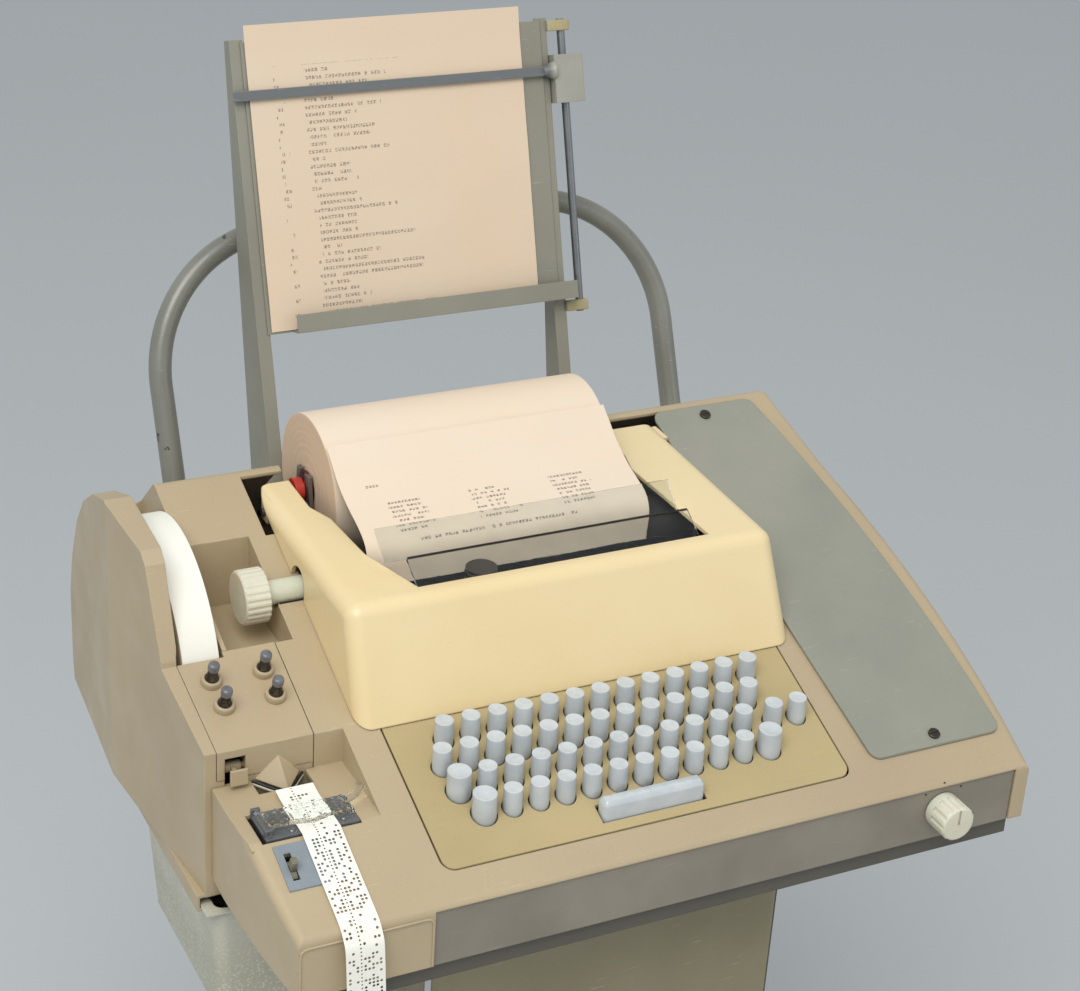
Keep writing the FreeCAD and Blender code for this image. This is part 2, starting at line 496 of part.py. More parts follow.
for x0 in (PAPER_LEFT - 4.5, PAPER_RIGHT + 1.5):
    arm = prism_x([(80, 660), (118, 660), (118, 760), (112, 820), (90, 820), (80, 760)], x0, x0 + 3)
    arm = arm.cut(rod_x(x0 - 1, x0 + 4, ROLL_Y, ROLL_Z, 5.0 + FIT)).cut(
        box(x0 - 1, x0 + 4, ROLL_Y - 5.05, ROLL_Y + 5.05, ROLL_Z, 830))
    arm = arm.cut(rod_x(x0 - 1, x0 + 4, MOTOR_Y, MOTOR_Z, 8.0))
    arm = arm.cut(rod_x(x0 - 1, x0 + 4, TIES[1][0], TIES[1][1], RAIL_R))
    cradle.append(arm)
save("roll_cradle", group(*cradle))

# Printed page: up from the platen, back over the front of the roll
PAGE = 0.3


def ribbon_path(points, thickness, x0, x1):
    """A thin sheet that follows (y, z) points, its thickness on the outer side."""
    side = []
    for i, (y, z) in enumerate(points):
        before = points[max(i - 1, 0)]
        after = points[min(i + 1, len(points) - 1)]
        run = math.hypot(after[0] - before[0], after[1] - before[1])
        side.append((y + thickness * (after[1] - before[1]) / run,
                     z - thickness * (after[0] - before[0]) / run))
    return prism_x(points + side[::-1], x0, x1)


page_line = [(-9.0, 770), (-9.2, 788), (-9.8, 802), (-6.0, 812), (4.0, 818.5), (26, 826), (44, 834.5),
             (56, 843.5), (67, 850.5)]
page = ribbon_path(page_line, PAGE, PAPER_LEFT, PAPER_RIGHT)
save("printed_page", page)

# Type wheel, hammer and ribbon on the carriage
CAR_X, CAR_HALF = -58.0, 21.0
WHEEL_Y, WHEEL_Z0, WHEEL_Z1, WHEEL_R = -25.0, 767.0, 792.0, 11.0
HAMMER_Y, HAMMER_Z = -43.0, 772.0
carriage = box(CAR_X - CAR_HALF, CAR_X + CAR_HALF, -78, -30, 700, 722)
carriage = fuse(carriage, box(CAR_X - CAR_HALF, CAR_X - CAR_HALF + 4, -78, -30, 720, 763),
                box(CAR_X + CAR_HALF - 4, CAR_X + CAR_HALF, -78, -30, 720, 763),
                box(CAR_X - CAR_HALF, CAR_X + CAR_HALF, -78, -14, 760, 763))
for y, z in RAILS:
    carriage = carriage.cut(rod_x(CAR_X - 40, CAR_X + 40, y, z, RAIL_R + FIT))
carriage = carriage.cut(rod_z(CAR_X, WHEEL_Y, 755, 770, 2.5 + FIT))
for x in (CAR_X - 6, CAR_X + 3):
    lug = box(x, x + 3, HAMMER_Y - 4, HAMMER_Y + 4, 762, 776).cut(
        rod_x(x - 1, x + 4, HAMMER_Y, HAMMER_Z, 1.5 + FIT))
    carriage = fuse(carriage, lug)
save("print_carriage", carriage)
wheel = rod_z(CAR_X, WHEEL_Y, WHEEL_Z0, WHEEL_Z1, WHEEL_R)
for i in range(4):
    ring = rod_z(CAR_X, WHEEL_Y, WHEEL_Z0 + 4 + 6 * i, WHEEL_Z0 + 6.5 + 6 * i, WHEEL_R + 1)
    wheel = wheel.cut(ring.cut(rod_z(CAR_X, WHEEL_Y, WHEEL_Z0, WHEEL_Z1, WHEEL_R - 0.8)))
save("type_wheel", fuse(wheel, rod_z(CAR_X, WHEEL_Y, 752, WHEEL_Z0 + 1, 2.5)))
hammer = fuse(box(CAR_X - 2.6, CAR_X + 2.6, HAMMER_Y - 3, HAMMER_Y + 3, 766, 786),
              rod_y(CAR_X, HAMMER_Y + 2, HAMMER_Y + 5.4, 781, 3.0),
              rod_x(CAR_X - 6, CAR_X + 6, HAMMER_Y, HAMMER_Z, 1.5))
save("print_hammer", hammer)
SPOOL_R, SPOOL_Z0, SPOOL_Z1 = 15.0, 770.5, 784.5
for name, x, wound in (("left_ribbon_spool", SPOOL_LEFT, 12.0), ("right_ribbon_spool", SPOOL_RIGHT, 9.0)):
    spool = fuse(rod_z(x, SPOOL_Y, SPOOL_Z0, SPOOL_Z0 + 1, SPOOL_R),
                 rod_z(x, SPOOL_Y, SPOOL_Z0, SPOOL_Z1, wound),
                 rod_z(x, SPOOL_Y, SPOOL_Z1 - 1, SPOOL_Z1, SPOOL_R))
    save(name, spool.cut(rod_z(x, SPOOL_Y, 760, 790, 2.0 + FIT)))
BAND_Z0, BAND_Z1, BAND_Y = 772.0, 783.0, -12.2
band = fuse(box(BAND_X0, BAND_X0 + 0.3, SPOOL_Y, BAND_Y + 0.3, BAND_Z0, BAND_Z1),
            box(BAND_X0, BAND_X1, BAND_Y, BAND_Y + 0.3, BAND_Z0, BAND_Z1),
            box(BAND_X1 - 0.3, BAND_X1, SPOOL_Y, BAND_Y + 0.3, BAND_Z0, BAND_Z1))
save("ink_ribbon", band)

# Drive: motor, belt and the main shaft with its clutches and pulley
motor = fuse(rod_x(-30, 68, MOTOR_Y, MOTOR_Z, MOTOR_R), rod_x(-36, -29, MOTOR_Y, MOTOR_Z, 14))
motor = fuse(motor, box(-20, 58, MOTOR_Y - 20, MOTOR_Y + 20, PAN_BOTTOM + 2, MOTOR_Z - 26))
motor = motor.cut(rod_x(0, 80, MOTOR_Y, MOTOR_Z, 4.0 + FIT)).cut(
    rod_x(-40, 70, TIES[1][0], TIES[1][1], RAIL_R + 1.0))
save("drive_motor", motor)
PULLEY_X0, PULLEY_X1 = 153.0, 163.0
SMALL_R, LARGE_R = 11.0, 33.0
motor_pulley = fuse(rod_x(PULLEY_X0, PULLEY_X1, MOTOR_Y, MOTOR_Z, SMALL_R),
                    rod_x(2, PULLEY_X1 + 2, MOTOR_Y, MOTOR_Z, 4.0))
save("motor_pulley", motor_pulley)


def belt_loop(grow, x0, x1):
    """The solid inside a belt round both pulleys, grown by a margin."""
    run_y, run_z = MOTOR_Y - SHAFT_Y, MOTOR_Z - SHAFT_Z
    span = math.hypot(run_y, run_z)
    aim = math.atan2(run_z, run_y)
    spread = math.acos((LARGE_R - SMALL_R) / span)
    corners = []
    for sign, y, z, r in ((1, SHAFT_Y, SHAFT_Z, LARGE_R), (1, MOTOR_Y, MOTOR_Z, SMALL_R),
                          (-1, MOTOR_Y, MOTOR_Z, SMALL_R), (-1, SHAFT_Y, SHAFT_Z, LARGE_R)):
        angle = aim + sign * spread
        corners.append((y + (r + grow) * math.cos(angle), z + (r + grow) * math.sin(angle)))
    return fuse(prism_x(corners, x0, x1), rod_x(x0, x1, SHAFT_Y, SHAFT_Z, LARGE_R + grow),
                rod_x(x0, x1, MOTOR_Y, MOTOR_Z, SMALL_R + grow))


belt = belt_loop(2.2, PULLEY_X0 + 1, PULLEY_X1 - 1).cut(belt_loop(0.3, PULLEY_X0, PULLEY_X1))
save("drive_belt", belt)
main_pulley = rod_x(PULLEY_X0, PULLEY_X1, SHAFT_Y, SHAFT_Z, LARGE_R)
for i in range(6):
    angle = math.radians(60 * i)
    main_pulley = main_pulley.cut(rod_x(PULLEY_X0 - 1, PULLEY_X1 + 1, SHAFT_Y + 19 * math.cos(angle),
                                        SHAFT_Z + 19 * math.sin(angle), 7.0))
turned = [rod_x(x, x + 9, SHAFT_Y, SHAFT_Z, 15.0) for x in (-140, -112, -84, -40, 40, 96)]
save("main_shaft", fuse(rod_x(-164, PULLEY_X1 + 1, SHAFT_Y, SHAFT_Z, SHAFT_R), main_pulley, *turned))

# Control unit under the right lid, with the switch behind the knob
chassis = prism_x([(-180, 628), (96, 628), (96, 700), (94, 700), (94, 630), (-178, 630), (-178, 650),
                   (-180, 650)], 182, 244)
chassis = fuse(chassis, box(190, 236, 20, 78, 629, 690), box(186, 240, -30, 4, 629, 668))
chips = [box(190 + 14 * i, 198 + 14 * i, -158 + 26 * j, -144 + 26 * j, 649, 660)
         for i in range(4) for j in range(4)]
card = fuse(box(186, 242, -168, -44, 648, 649.6), *chips)
card = fuse(card, *[rod_z(x, y, 629.5, 649, 2.0) for x in (189, 239) for y in (-164, -48)])
switch_bracket = box(KNOB_X - 14, KNOB_X + 14, FRONT_Y + 33, -179, KNOB_Z - 20, KNOB_Z - 18)
save("control_chassis", fuse(chassis, card, switch_body, switch_bracket))

# Punch housing: the moulded case on the left that holds the tape roll and the punch
SIDE_FRONT, SIDE_MID, SIDE_REAR = (-281.5, -98.4), (-295.0, 62.0), (-284.0, 200.0)
side_line = [(-98.4, 626), (197, 626), (203, 660), (200, 700), (188, 735), (165, 775), (138, 804), (104, 826),
             (66, 840), (2, 833), (-6, 826), (-30, 766), (-30.5, deck_z(-30.5)), (-98.4, deck_z(-98.4))]
FLOOR_TOP = 629.0


def side_plan(inset, x1):
    """Plan of the housing from its left wall to x1."""
    return [(SIDE_FRONT[0] + inset, SIDE_FRONT[1]), (SIDE_MID[0] + inset, SIDE_MID[1]),
            (SIDE_REAR[0] + inset, SIDE_REAR[1]), (x1, SIDE_REAR[1]), (x1, SIDE_FRONT[1])]


# The left wall is double: an outer skin, an inner skin beside the roll and a rim that joins them
INNER_SKIN = [(-273.5, -98.4), (-277.1, -29.0), (-276.0, -27.0), (-276.0, 150.0), (-269.0, 200.0),
              (-250.0, 200.0), (-250.0, -98.4)]
housing = prism_z(side_plan(0, -262), 600, 900).cut(prism_z(INNER_SKIN, 600, 900))
housing = housing.common(prism_x(side_line, -300, -200))
wall_gap = prism_z([(-282.0, -60.0), (SIDE_MID[0] + 3, SIDE_MID[1]), (-282.6, 185.0), (-279.0, 185.0),
                    (-279.0, -60.0)], 600, 900)
wall_gap = wall_gap.common(prism_x([(y, z - 4 if z > 700 else z - 40) for y, z in side_line], -300, -200))
floor_plate = prism_z(side_plan(0, BAY_X1), 626, FLOOR_TOP).common(box(-300, BAY_X1, -98.4, 197, 600, 700))
ROLL_HUB_R = 25.4
LEVER_Y, LEVER_HINGE_Z = -90.0, 718.0
housing = fuse(housing, floor_plate, box(-276.0, -208.1, -98.4, -95.4, 626, 714),
               box(-211, -208.1, -96, -25.6, 626, 713.9), box(-206, -186, 0, 150, PAN_BOTTOM + 2, 630),
               box(-274, -250, 195, 197, 626, 690),
               rod_x(-277, -247.4, TAPE_ROLL_Y, TAPE_ROLL_Z, ROLL_HUB_R - FIT))
housing = housing.cut(rod_x(-276, -240, TAPE_ROLL_Y, TAPE_ROLL_Z, ROLL_HUB_R - 4))
housing = housing.cut(wall_gap)
BEHIND_SKIRT = -95.4
inner_wall = prism_x([(BEHIND_SKIRT, 700), (-25.6, 700), (-25.6, deck_z(-25.6) - 2.8),
                      (BEHIND_SKIRT, deck_z(BEHIND_SKIRT) - 2.8)], -211, -208.1)
ledge = deck_layer(-279, -269.5, BEHIND_SKIRT, -31, -2.8, -5.5)
ledge = ledge.common(prism_z(side_plan(1.0, -260), 600, 900))
housing = fuse(housing, inner_wall, ledge)
for x0 in (-273.5, -252.5):
    lug = box(x0, x0 + 3, -95.6, -85, 706, 723).cut(rod_x(x0 - 1, x0 + 4, LEVER_Y, LEVER_HINGE_Z, 2.0 + FIT))
    housing = fuse(housing, lug)
housing = housing.cut(box(-268, -254, -105, -95, 709, 730))
housing = fuse(housing, box(-287, -268, BIN_Y0, BIN_Y1, 626, 628),
               box(-287, -285, BIN_Y0, BIN_Y1, RAIL_Z0, 628),
               box(-287, -280.5, BIN_Y0, BIN_Y1, RAIL_Z0, RAIL_Z1))
save("punch_housing", housing)

lid_plan = [(-273.1, -98.8), (-208.1, -98.8), (-208.1, -25.4), (-244.5, -25.4), (-244.5, -29.8),
            (-276.6, -29.8)]
lid_top = prism_z(lid_plan, 600, 900).common(deck_layer(-300, -200, -110, -10, 0.0, -2.8))
skirt = box(-273.1, -208.1, -98.8, -95.8, 714.4, deck_z(-98.8))
skirt = skirt.common(deck_layer(-300, -200, -110, -10, 0.0, -60))
punch_lid = fuse(lid_top, skirt)
nose_ring = [V(-232.3, -98.0, 726), V(-216.5, -98.0, 710), V(-232, -98.0, 704), V(-249, -98.0, 711)]
nose_tip = V(-230, -113, 706)
nose_faces = [Part.Face(Part.makePolygon(nose_ring + [nose_ring[0]]))]
for i in range(4):
    facet = [nose_ring[i], nose_ring[(i + 1) % 4], nose_tip, nose_ring[i]]
    nose_faces.append(Part.Face(Part.makePolygon(facet)))
nose = Part.Solid(Part.Shell(nose_faces))
nose = nose.common(box(-260, -200, -120, -98.5, 690, 740))
punch_lid = fuse(punch_lid, nose)
BUTTONS = [(-259.2, -46.9), (-257.4, -66.9), (-223.4, -46.2), (-222.4, -66.3)]
for x, y in BUTTONS:
    punch_lid = fuse(punch_lid, on_deck(rod_z(0, 0, -1, 4.5, 6.5), x, y))
for x, y in BUTTONS:
    punch_lid = punch_lid.cut(on_deck(rod_z(0, 0, -8, 8, 3.4 + FIT), x, y))
punch_lid = punch_lid.cut(box(-268, -254, -105, -95, 709, 730))
save("punch_lid", punch_lid)
for i, (x, y) in enumerate(BUTTONS):
    button = fuse(rod_z(0, 0, -11, 17.5, 3.4), rod_z(0, 0, -6.0, -4.6, 4.8))
    button = fuse(button, Part.makeCone(4.1, 3.4, 2.2, V(0, 0, 17.0), V(0, 0, 1)))
    save("punch_button_%d" % (i + 1), on_deck(button, x, y))
lever = fuse(box(-262.5, -259.5, -106, -88, 716, 720), box(-266.8, -255.2, -107, -105.2, 713.6, 725),
             rod_x(-270.0, -253.0, LEVER_Y, LEVER_HINGE_Z, 2.0), rod_x(-266, -255, LEVER_Y, LEVER_HINGE_Z, 3.5))
save("punch_lever", fuse(lever, rod_x(-272.5, -250.5, LEVER_Y, LEVER_HINGE_Z, 2.0)))
punch = fuse(box(-262, -215, -88, -38, FLOOR_TOP, 640), box(-256, -219, -84, -42, 640, 702),
             box(-248, -243.2, -84, -42, 701, 707), box(-217.6, -213, -84, -42, 701, 707),
             box(-248, -213, -70, -54, 706, 712), box(-221, -213, -84, -42, 695, 703))
save("punch_block", punch)
supply = rod_x(TAPE_ROLL_X, TAPE_ROLL_X + TAPE_WIDTH, TAPE_ROLL_Y, TAPE_ROLL_Z, TAPE_ROLL_R)
save("tape_supply_roll", supply.cut(rod_x(-300, -200, TAPE_ROLL_Y, TAPE_ROLL_Z, ROLL_HUB_R)))

# Tape reader in its recess
FEED_X = -231.8
READER_AXIS_Y, READER_AXIS_Z = -151.0, 702.3
SPROCKET_R = TAPE_PITCH * 20 / (2 * math.pi)
reader = fuse(box(-264.5, -202.5, -166, -136, 708.5, 711), box(-262, -206, -163, -137, 662, 709))
for x0 in (-258.0, -214.0):
    reader = fuse(reader, box(x0, x0 + 4, -160, -140, PAN_BOTTOM + 2, 663))
reader = reader.cut(rod_x(FEED_X - 2.2, FEED_X + 2.2, READER_AXIS_Y, READER_AXIS_Z, SPROCKET_R + 1.9))
reader = reader.cut(rod_x(-250, -210, READER_AXIS_Y, READER_AXIS_Z, 2.0 + FIT))
HINGE_X, HINGE_Z = -261.0, 713.2
for y0 in (-163.0, -138.4):
    lug = box(-264.4, -258.6, y0, y0 + 2.4, 710.5, 715.5)
    reader = fuse(reader, lug.cut(rod_y(HINGE_X, y0 - 1, y0 + 4, HINGE_Z, 1.0 + FIT)))
save("reader_plate", reader)
sprocket = fuse(rod_x(FEED_X - 1.2, FEED_X + 1.2, READER_AXIS_Y, READER_AXIS_Z, SPROCKET_R),
                rod_x(-249, -211, READER_AXIS_Y, READER_AXIS_Z, 2.0))
for i in range(20):
    angle = 2 * math.pi * (i + 0.5) / 20
    aim = V(0, math.cos(angle), math.sin(angle))
    foot_ = V(FEED_X, READER_AXIS_Y, READER_AXIS_Z).add(V(aim).multiply(SPROCKET_R - 0.5))
    sprocket = fuse(sprocket, Part.makeCone(0.5, 0.3, 1.4, foot_, aim))
save("reader_sprocket", sprocket)
clear_lid = fuse(box(-259, -203, -158, -141, 713.1, 716), rod_y(HINGE_X, -160.4, -138.6, HINGE_Z, 1.9),
                 rod_y(HINGE_X, -163, -136, HINGE_Z, 1.0), box(-261, -258, -158, -141, 713.1, 715.1),
                 box(-206, -203, -158, -154, 711.05, 714), box(-205, -193.5, -149, -142, 714.5, 716.5),
                 box(-196, -193.5, -149, -142, 716, 722))
save("reader_lid", clear_lid)
switch_plate = deck_layer(-262.5, -222, -202, -171, 1.2, 0)
switch_plate = fuse(switch_plate, deck_layer(-260.7, -258.2, -192, -182, 1.0, -15),
                    deck_layer(-252.8, -250.3, -192, -182, 1.0, -15))
switch_plate = switch_plate.cut(deck_layer(-257.8, -253.2, -196, -177, 5, -20))
SWITCH_Y = -187.0
pivot = on_deck(Part.makeCylinder(2.0 + FIT, 12, V(-6, 0, 0), V(1, 0, 0)), -255.5, SWITCH_Y, -11)
save("switch_plate", switch_plate.cut(pivot))
switch_lever = fuse(box(-1.8, 1.8, -2.2, 2.2, -12, 8),
                    Part.makeCylinder(2.0, 10.2, V(-5.1, 0, -11), V(1, 0, 0)),
                    Part.makeCylinder(2.2, 3.6, V(-1.8, 0, 8), V(1, 0, 0)))
save("reader_lever", on_deck(switch_lever, -255.5, SWITCH_Y))

# Punched tape: over the reader, down the deck and over the front edge
TAPE_X0 = -241.8
TAPE_T = 0.3
tape_line = [(-120, 713.8), (-128, 712.3), (-136, 711.9), (-166, 711.9), (-171, deck_z(-171) + 2.6),
             (-200, deck_z(-200) + 1.9), (-226, deck_z(-226) + 1.6), (-234, deck_z(-234) + 0.6),
             (-239, deck_z(-239) - 2.6), (-242, 674), (-244, 660), (-247, 630), (-251, 600), (-257, 570),
             (-263, 550)]
tape = ribbon_path(tape_line, -TAPE_T, TAPE_X0, TAPE_X0 + TAPE_WIDTH)
save("punched_tape", tape)

# Chad bin hung on its two rails
RIM_Z0 = RAIL_Z1 + FIT
BIN_TOP = (-279.0, -169.5, -108.0, 48.0)
BIN_BOTTOM = (-272.0, -172.0, -104.0, 44.0)


def tapered(inset, z0, z1):
    """A tub form between the bin's bottom and its top."""
    wires = []
    for (x0, x1, y0, y1), z in ((BIN_BOTTOM, z0), (BIN_TOP, z1)):
        corners = [V(x0 + inset, y0 + inset, z), V(x1 - inset, y0 + inset, z), V(x1 - inset, y1 - inset, z),
                   V(x0 + inset, y1 - inset, z)]
        wires.append(Part.makePolygon(corners + [corners[0]]))
    return Part.makeLoft(wires, True, True)


bin_outer = soften(tapered(0, 526, RIM_Z0 + 2), 9.0, lambda m, d: abs(d.z) > 0.9)
chad_bin = fuse(bin_outer, box(-284.5, -164.6, -110, 50, RIM_Z0, RIM_Z0 + 2))
bin_inner = soften(tapered(2.5, 528.5, RIM_Z0 + 3), 6.5, lambda m, d: abs(d.z) > 0.9)
chad_bin = chad_bin.cut(bin_inner)
save("chad_bin", chad_bin)

# Copy holder: two uprights on the rear slope carry a tray, a sheet of copy and a sliding line guide
HOLDER_AXIS = V(0, math.sin(math.radians(HOLDER_LEAN)), math.cos(math.radians(HOLDER_LEAN)))


def on_holder(shape):
    """Moves a shape drawn with its back to +Y and its slope up Z onto the holder's plane."""
    turned = shape.copy()
    turned.rotate(V(0, 0, 0), V(1, 0, 0), -HOLDER_LEAN)
    turned.translate(V(HOLDER_X, HOLDER_Y, HOLDER_Z))
    return turned


HOLDER_TOP = 97.8
TRAY_LOW, TRAY_HIGH = -113.2, -99.8
cover_form = cover_body(0, COVER_BOTTOM)
web_line = [(0, HOLDER_TOP), (10.3, HOLDER_TOP), (50, -260), (0, -260)]
LEFT_X0, LEFT_X1, RIGHT_X0, RIGHT_X1 = -152.9, -143.1, 87.4, 97.2
SHEET_T = 1.5
foot_pad = box(-6.4, 6.4, -26, 24, 0, FOOT_T)
uprights = []
for flange_x0, flange_x1, web_x in ((LEFT_X0, LEFT_X1, LEFT_X0), (RIGHT_X0, RIGHT_X1, RIGHT_X1 - SHEET_T)):
    upright = fuse(box(flange_x0, flange_x1, 0, SHEET_T, -260, HOLDER_TOP),
                   prism_x(web_line, web_x, web_x + SHEET_T))
    upright = on_holder(upright).cut(cover_form)
    mid_x = HOLDER_X + (LEFT_X0 + 6.4 if web_x == flange_x0 else RIGHT_X1 - 6.4)
    pad = on_rear(foot_pad, mid_x, 189.0)
    uprights.append(fuse(max(upright.Solids, key=lambda solid: solid.Volume), pad))
for i, (x, y) in enumerate(HOLDER_FEET):
    uprights[i // 2] = uprights[i // 2].cut(on_rear(rod_z(0, 0, -9, 9, 2.2), x, y))
save("left_upright", uprights[0])
ROD_X, ROD_D, ROD_R = 110.0, 2.0, 3.0
side_rod = fuse(rod_z(ROD_X, ROD_D, -125.5, 96.7, ROD_R), box(RIGHT_X1 - 0.5, ROD_X + 5, -2, 6, 88, 95),
                box(RIGHT_X1 - 0.5, ROD_X + 5, -2, 6, -124, -117))
save("right_upright", fuse(uprights[1], on_holder(side_rod)))
tray = fuse(box(-145, 91.5, -1.2, 0, TRAY_LOW, 96.0), box(-126.1, 101.8, -14, -0.2, TRAY_LOW, TRAY_LOW + 1.2),
            box(-126.1, 101.8, -14, -12.8, TRAY_LOW, TRAY_HIGH))
save("copy_tray", on_holder(tray))
save("copy_sheet", on_holder(box(-142.3, 73.7, -1.8, -1.5, -111.5, 108.0)))
GUIDE_LOW, GUIDE_HIGH = 55.0, 62.0
slide_block = box(98.2, 121.9, -8, 12, 34, 70).cut(rod_z(ROD_X, ROD_D, 0, 100, ROD_R + FIT))
arm_root = Part.makeCone(7.0, 3.2, 9.0, V(98.5, -5.4, (GUIDE_LOW + GUIDE_HIGH) / 2), V(-1, 0, 0))
line_guide = fuse(slide_block, box(-155.4, 99, -6, -4.8, GUIDE_LOW, GUIDE_HIGH),
                  arm_root.common(box(0, 200, -12, -2.6, 0, 200)))
save("line_guide", on_holder(line_guide))

# Rear hoop: one bent tube on two flanged feet
HOOP_R, HOOP_BEND, HOOP_TOP = 8.5, 106.7, 205.5
turn = math.sqrt(0.5)
arc_left = Part.Arc(V(HOOP_X0, 0, HOOP_TOP - HOOP_BEND),
                    V(HOOP_X0 + HOOP_BEND * (1 - turn), 0, HOOP_TOP - HOOP_BEND * (1 - turn)),
                    V(HOOP_X0 + HOOP_BEND, 0, HOOP_TOP))
arc_right = Part.Arc(V(HOOP_X1 - HOOP_BEND, 0, HOOP_TOP),
                     V(HOOP_X1 - HOOP_BEND * (1 - turn), 0, HOOP_TOP - HOOP_BEND * (1 - turn)),
                     V(HOOP_X1, 0, HOOP_TOP - HOOP_BEND))
hoop_crown = Part.LineSegment(V(HOOP_X0 + HOOP_BEND, 0, HOOP_TOP), V(HOOP_X1 - HOOP_BEND, 0, HOOP_TOP))
spine = Part.Wire([Part.LineSegment(V(HOOP_X0, 0, -25), V(HOOP_X0, 0, HOOP_TOP - HOOP_BEND)).toShape(),
                   arc_left.toShape(),
                   hoop_crown.toShape(),
                   arc_right.toShape(),
                   Part.LineSegment(V(HOOP_X1, 0, HOOP_TOP - HOOP_BEND), V(HOOP_X1, 0, -25)).toShape()])
ring = Part.Wire(Part.makeCircle(HOOP_R, V(HOOP_X0, 0, -25), V(0, 0, 1)))
bore = Part.Wire(Part.makeCircle(HOOP_R - 1.5, V(HOOP_X0, 0, -25), V(0, 0, 1)))
tube = spine.makePipeShell([ring], True, False).cut(spine.makePipeShell([bore], True, False))
tube.rotate(V(0, 0, 0), V(1, 0, 0), -HOOP_LEAN)
tube.translate(V(0, HOOP_Y, HOOP_Z))
tube = max(tube.cut(cover_form).Solids, key=lambda solid: solid.Volume)
feet_ = []
for x in (HOOP_X0, HOOP_X1):
    feet_.append(on_rear(box(-22, 22, -13, 13, 0, FOOT_T), x, HOOP_Y))
hoop = fuse(tube, *feet_)
for x, y in HOOP_FEET:
    hoop = hoop.cut(on_rear(rod_z(0, 0, -9, 9, 2.2), x, y))
save("rear_hoop", hoop)
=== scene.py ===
"""Finishes, paper, tape and small parts of a teleprinter on its stand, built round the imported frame."""
import math
import random

import bmesh
import bpy
from mathutils import Matrix, Vector, noise


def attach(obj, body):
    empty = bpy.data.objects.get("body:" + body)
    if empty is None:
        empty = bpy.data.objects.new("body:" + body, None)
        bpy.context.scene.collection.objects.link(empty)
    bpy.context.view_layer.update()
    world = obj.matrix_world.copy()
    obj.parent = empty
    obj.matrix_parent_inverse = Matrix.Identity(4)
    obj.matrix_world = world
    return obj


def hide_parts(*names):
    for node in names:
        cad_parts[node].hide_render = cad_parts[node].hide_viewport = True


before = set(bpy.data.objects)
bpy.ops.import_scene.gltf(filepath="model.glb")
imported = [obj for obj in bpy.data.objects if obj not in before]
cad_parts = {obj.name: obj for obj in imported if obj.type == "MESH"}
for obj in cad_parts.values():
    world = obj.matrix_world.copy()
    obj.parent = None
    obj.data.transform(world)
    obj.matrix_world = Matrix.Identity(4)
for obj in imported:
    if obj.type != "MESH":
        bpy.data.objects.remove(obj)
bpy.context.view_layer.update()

bl_info = {
    "name": "Teleprinter",
    "version": (1, 0, 0),
    "blender": (4, 5, 0),
    "location": "3D View > Sidebar > Teleprinter",
    "description": "Builds the finishes, paper, tape, keys and studio of a teleprinter round its frame",
    "category": "Object",
}

# Every piece is drawn in the part's own millimetres, then moved and scaled once
MILLIMETRE = 0.001
PART_PLACE = (9.0, -11.74, 0.0)
TO_SCENE = Matrix.Scale(MILLIMETRE, 4) @ Matrix.Translation(PART_PLACE)
DECK_SLOPE = math.radians(21.0)
DECK_FRONT_Y, DECK_FRONT_Z = -232.0, 684.5
HOLDER_LEAN = math.radians(17.0)
HOLDER_PLACE = (11.0, 224.3, 995.4)

# Page paper on its spindle, and tape on its hub
PAPER_X0, PAPER_WIDTH = -136.2, 215.9
ROLL_Y, ROLL_Z, ROLL_RADIUS, ROLL_BORE = 101.0, 806.0, 54.0, 12.75
TAPE_X0, TAPE_WIDTH, TAPE_PITCH = -241.8, 25.4, 2.54
TAPE_ROLL_X, TAPE_ROLL_Y, TAPE_ROLL_Z, TAPE_ROLL_RADIUS, TAPE_ROLL_BORE = -272.0, 57.0, 728.0, 90.0, 25.45
TYPED_PITCH = 2.54


def deck_z(y):
    """Height of the sloping deck at y."""
    return DECK_FRONT_Z + math.tan(DECK_SLOPE) * (y - DECK_FRONT_Y)


def on_deck(x, y, lift=0.0):
    """Where a piece drawn flat about the origin stands on the deck."""
    return (Matrix.Translation((x, y, deck_z(y))) @ Matrix.Rotation(DECK_SLOPE, 4, "X")
            @ Matrix.Translation((0, 0, lift)))


ON_HOLDER = Matrix.Translation(HOLDER_PLACE) @ Matrix.Rotation(-HOLDER_LEAN, 4, "X")


def linear(code):
    """A colour as it is written on a paint card, in Blender's own numbers."""
    parts = [int(code[i:i + 2], 16) / 255 for i in (0, 2, 4)]
    return tuple(p / 12.92 if p <= 0.04045 else ((p + 0.055) / 1.055) ** 2.4 for p in parts)


def rgba(colour):
    """The same colour with full cover."""
    return (*colour[:3], 1.0)


# Mesh helpers
def bridge(bm, low, high):
    """Faces between two closed rings, either of which may be a single point."""
    count = max(len(low), len(high))
    for i in range(count):
        j = (i + 1) % count
        corners = [low[i % len(low)], low[j % len(low)], high[j % len(high)], high[i % len(high)]]
        unique = list(dict.fromkeys(corners))
        if len(unique) > 2:
            bm.faces.new(unique)


def loft(bm, rings, closed=False, place=Matrix()):
    """A skin over rings of points, with flat ends unless it closes on itself."""
    made = [[bm.verts.new(place @ Vector(p)) for p in ring] for ring in rings]
    for low, high in zip(made, made[1:]):
        bridge(bm, low, high)
    if closed:
        bridge(bm, made[-1], made[0])
    else:
        for end in (made[0], made[-1]):
            if len(end) > 2:
                bm.faces.new(end)


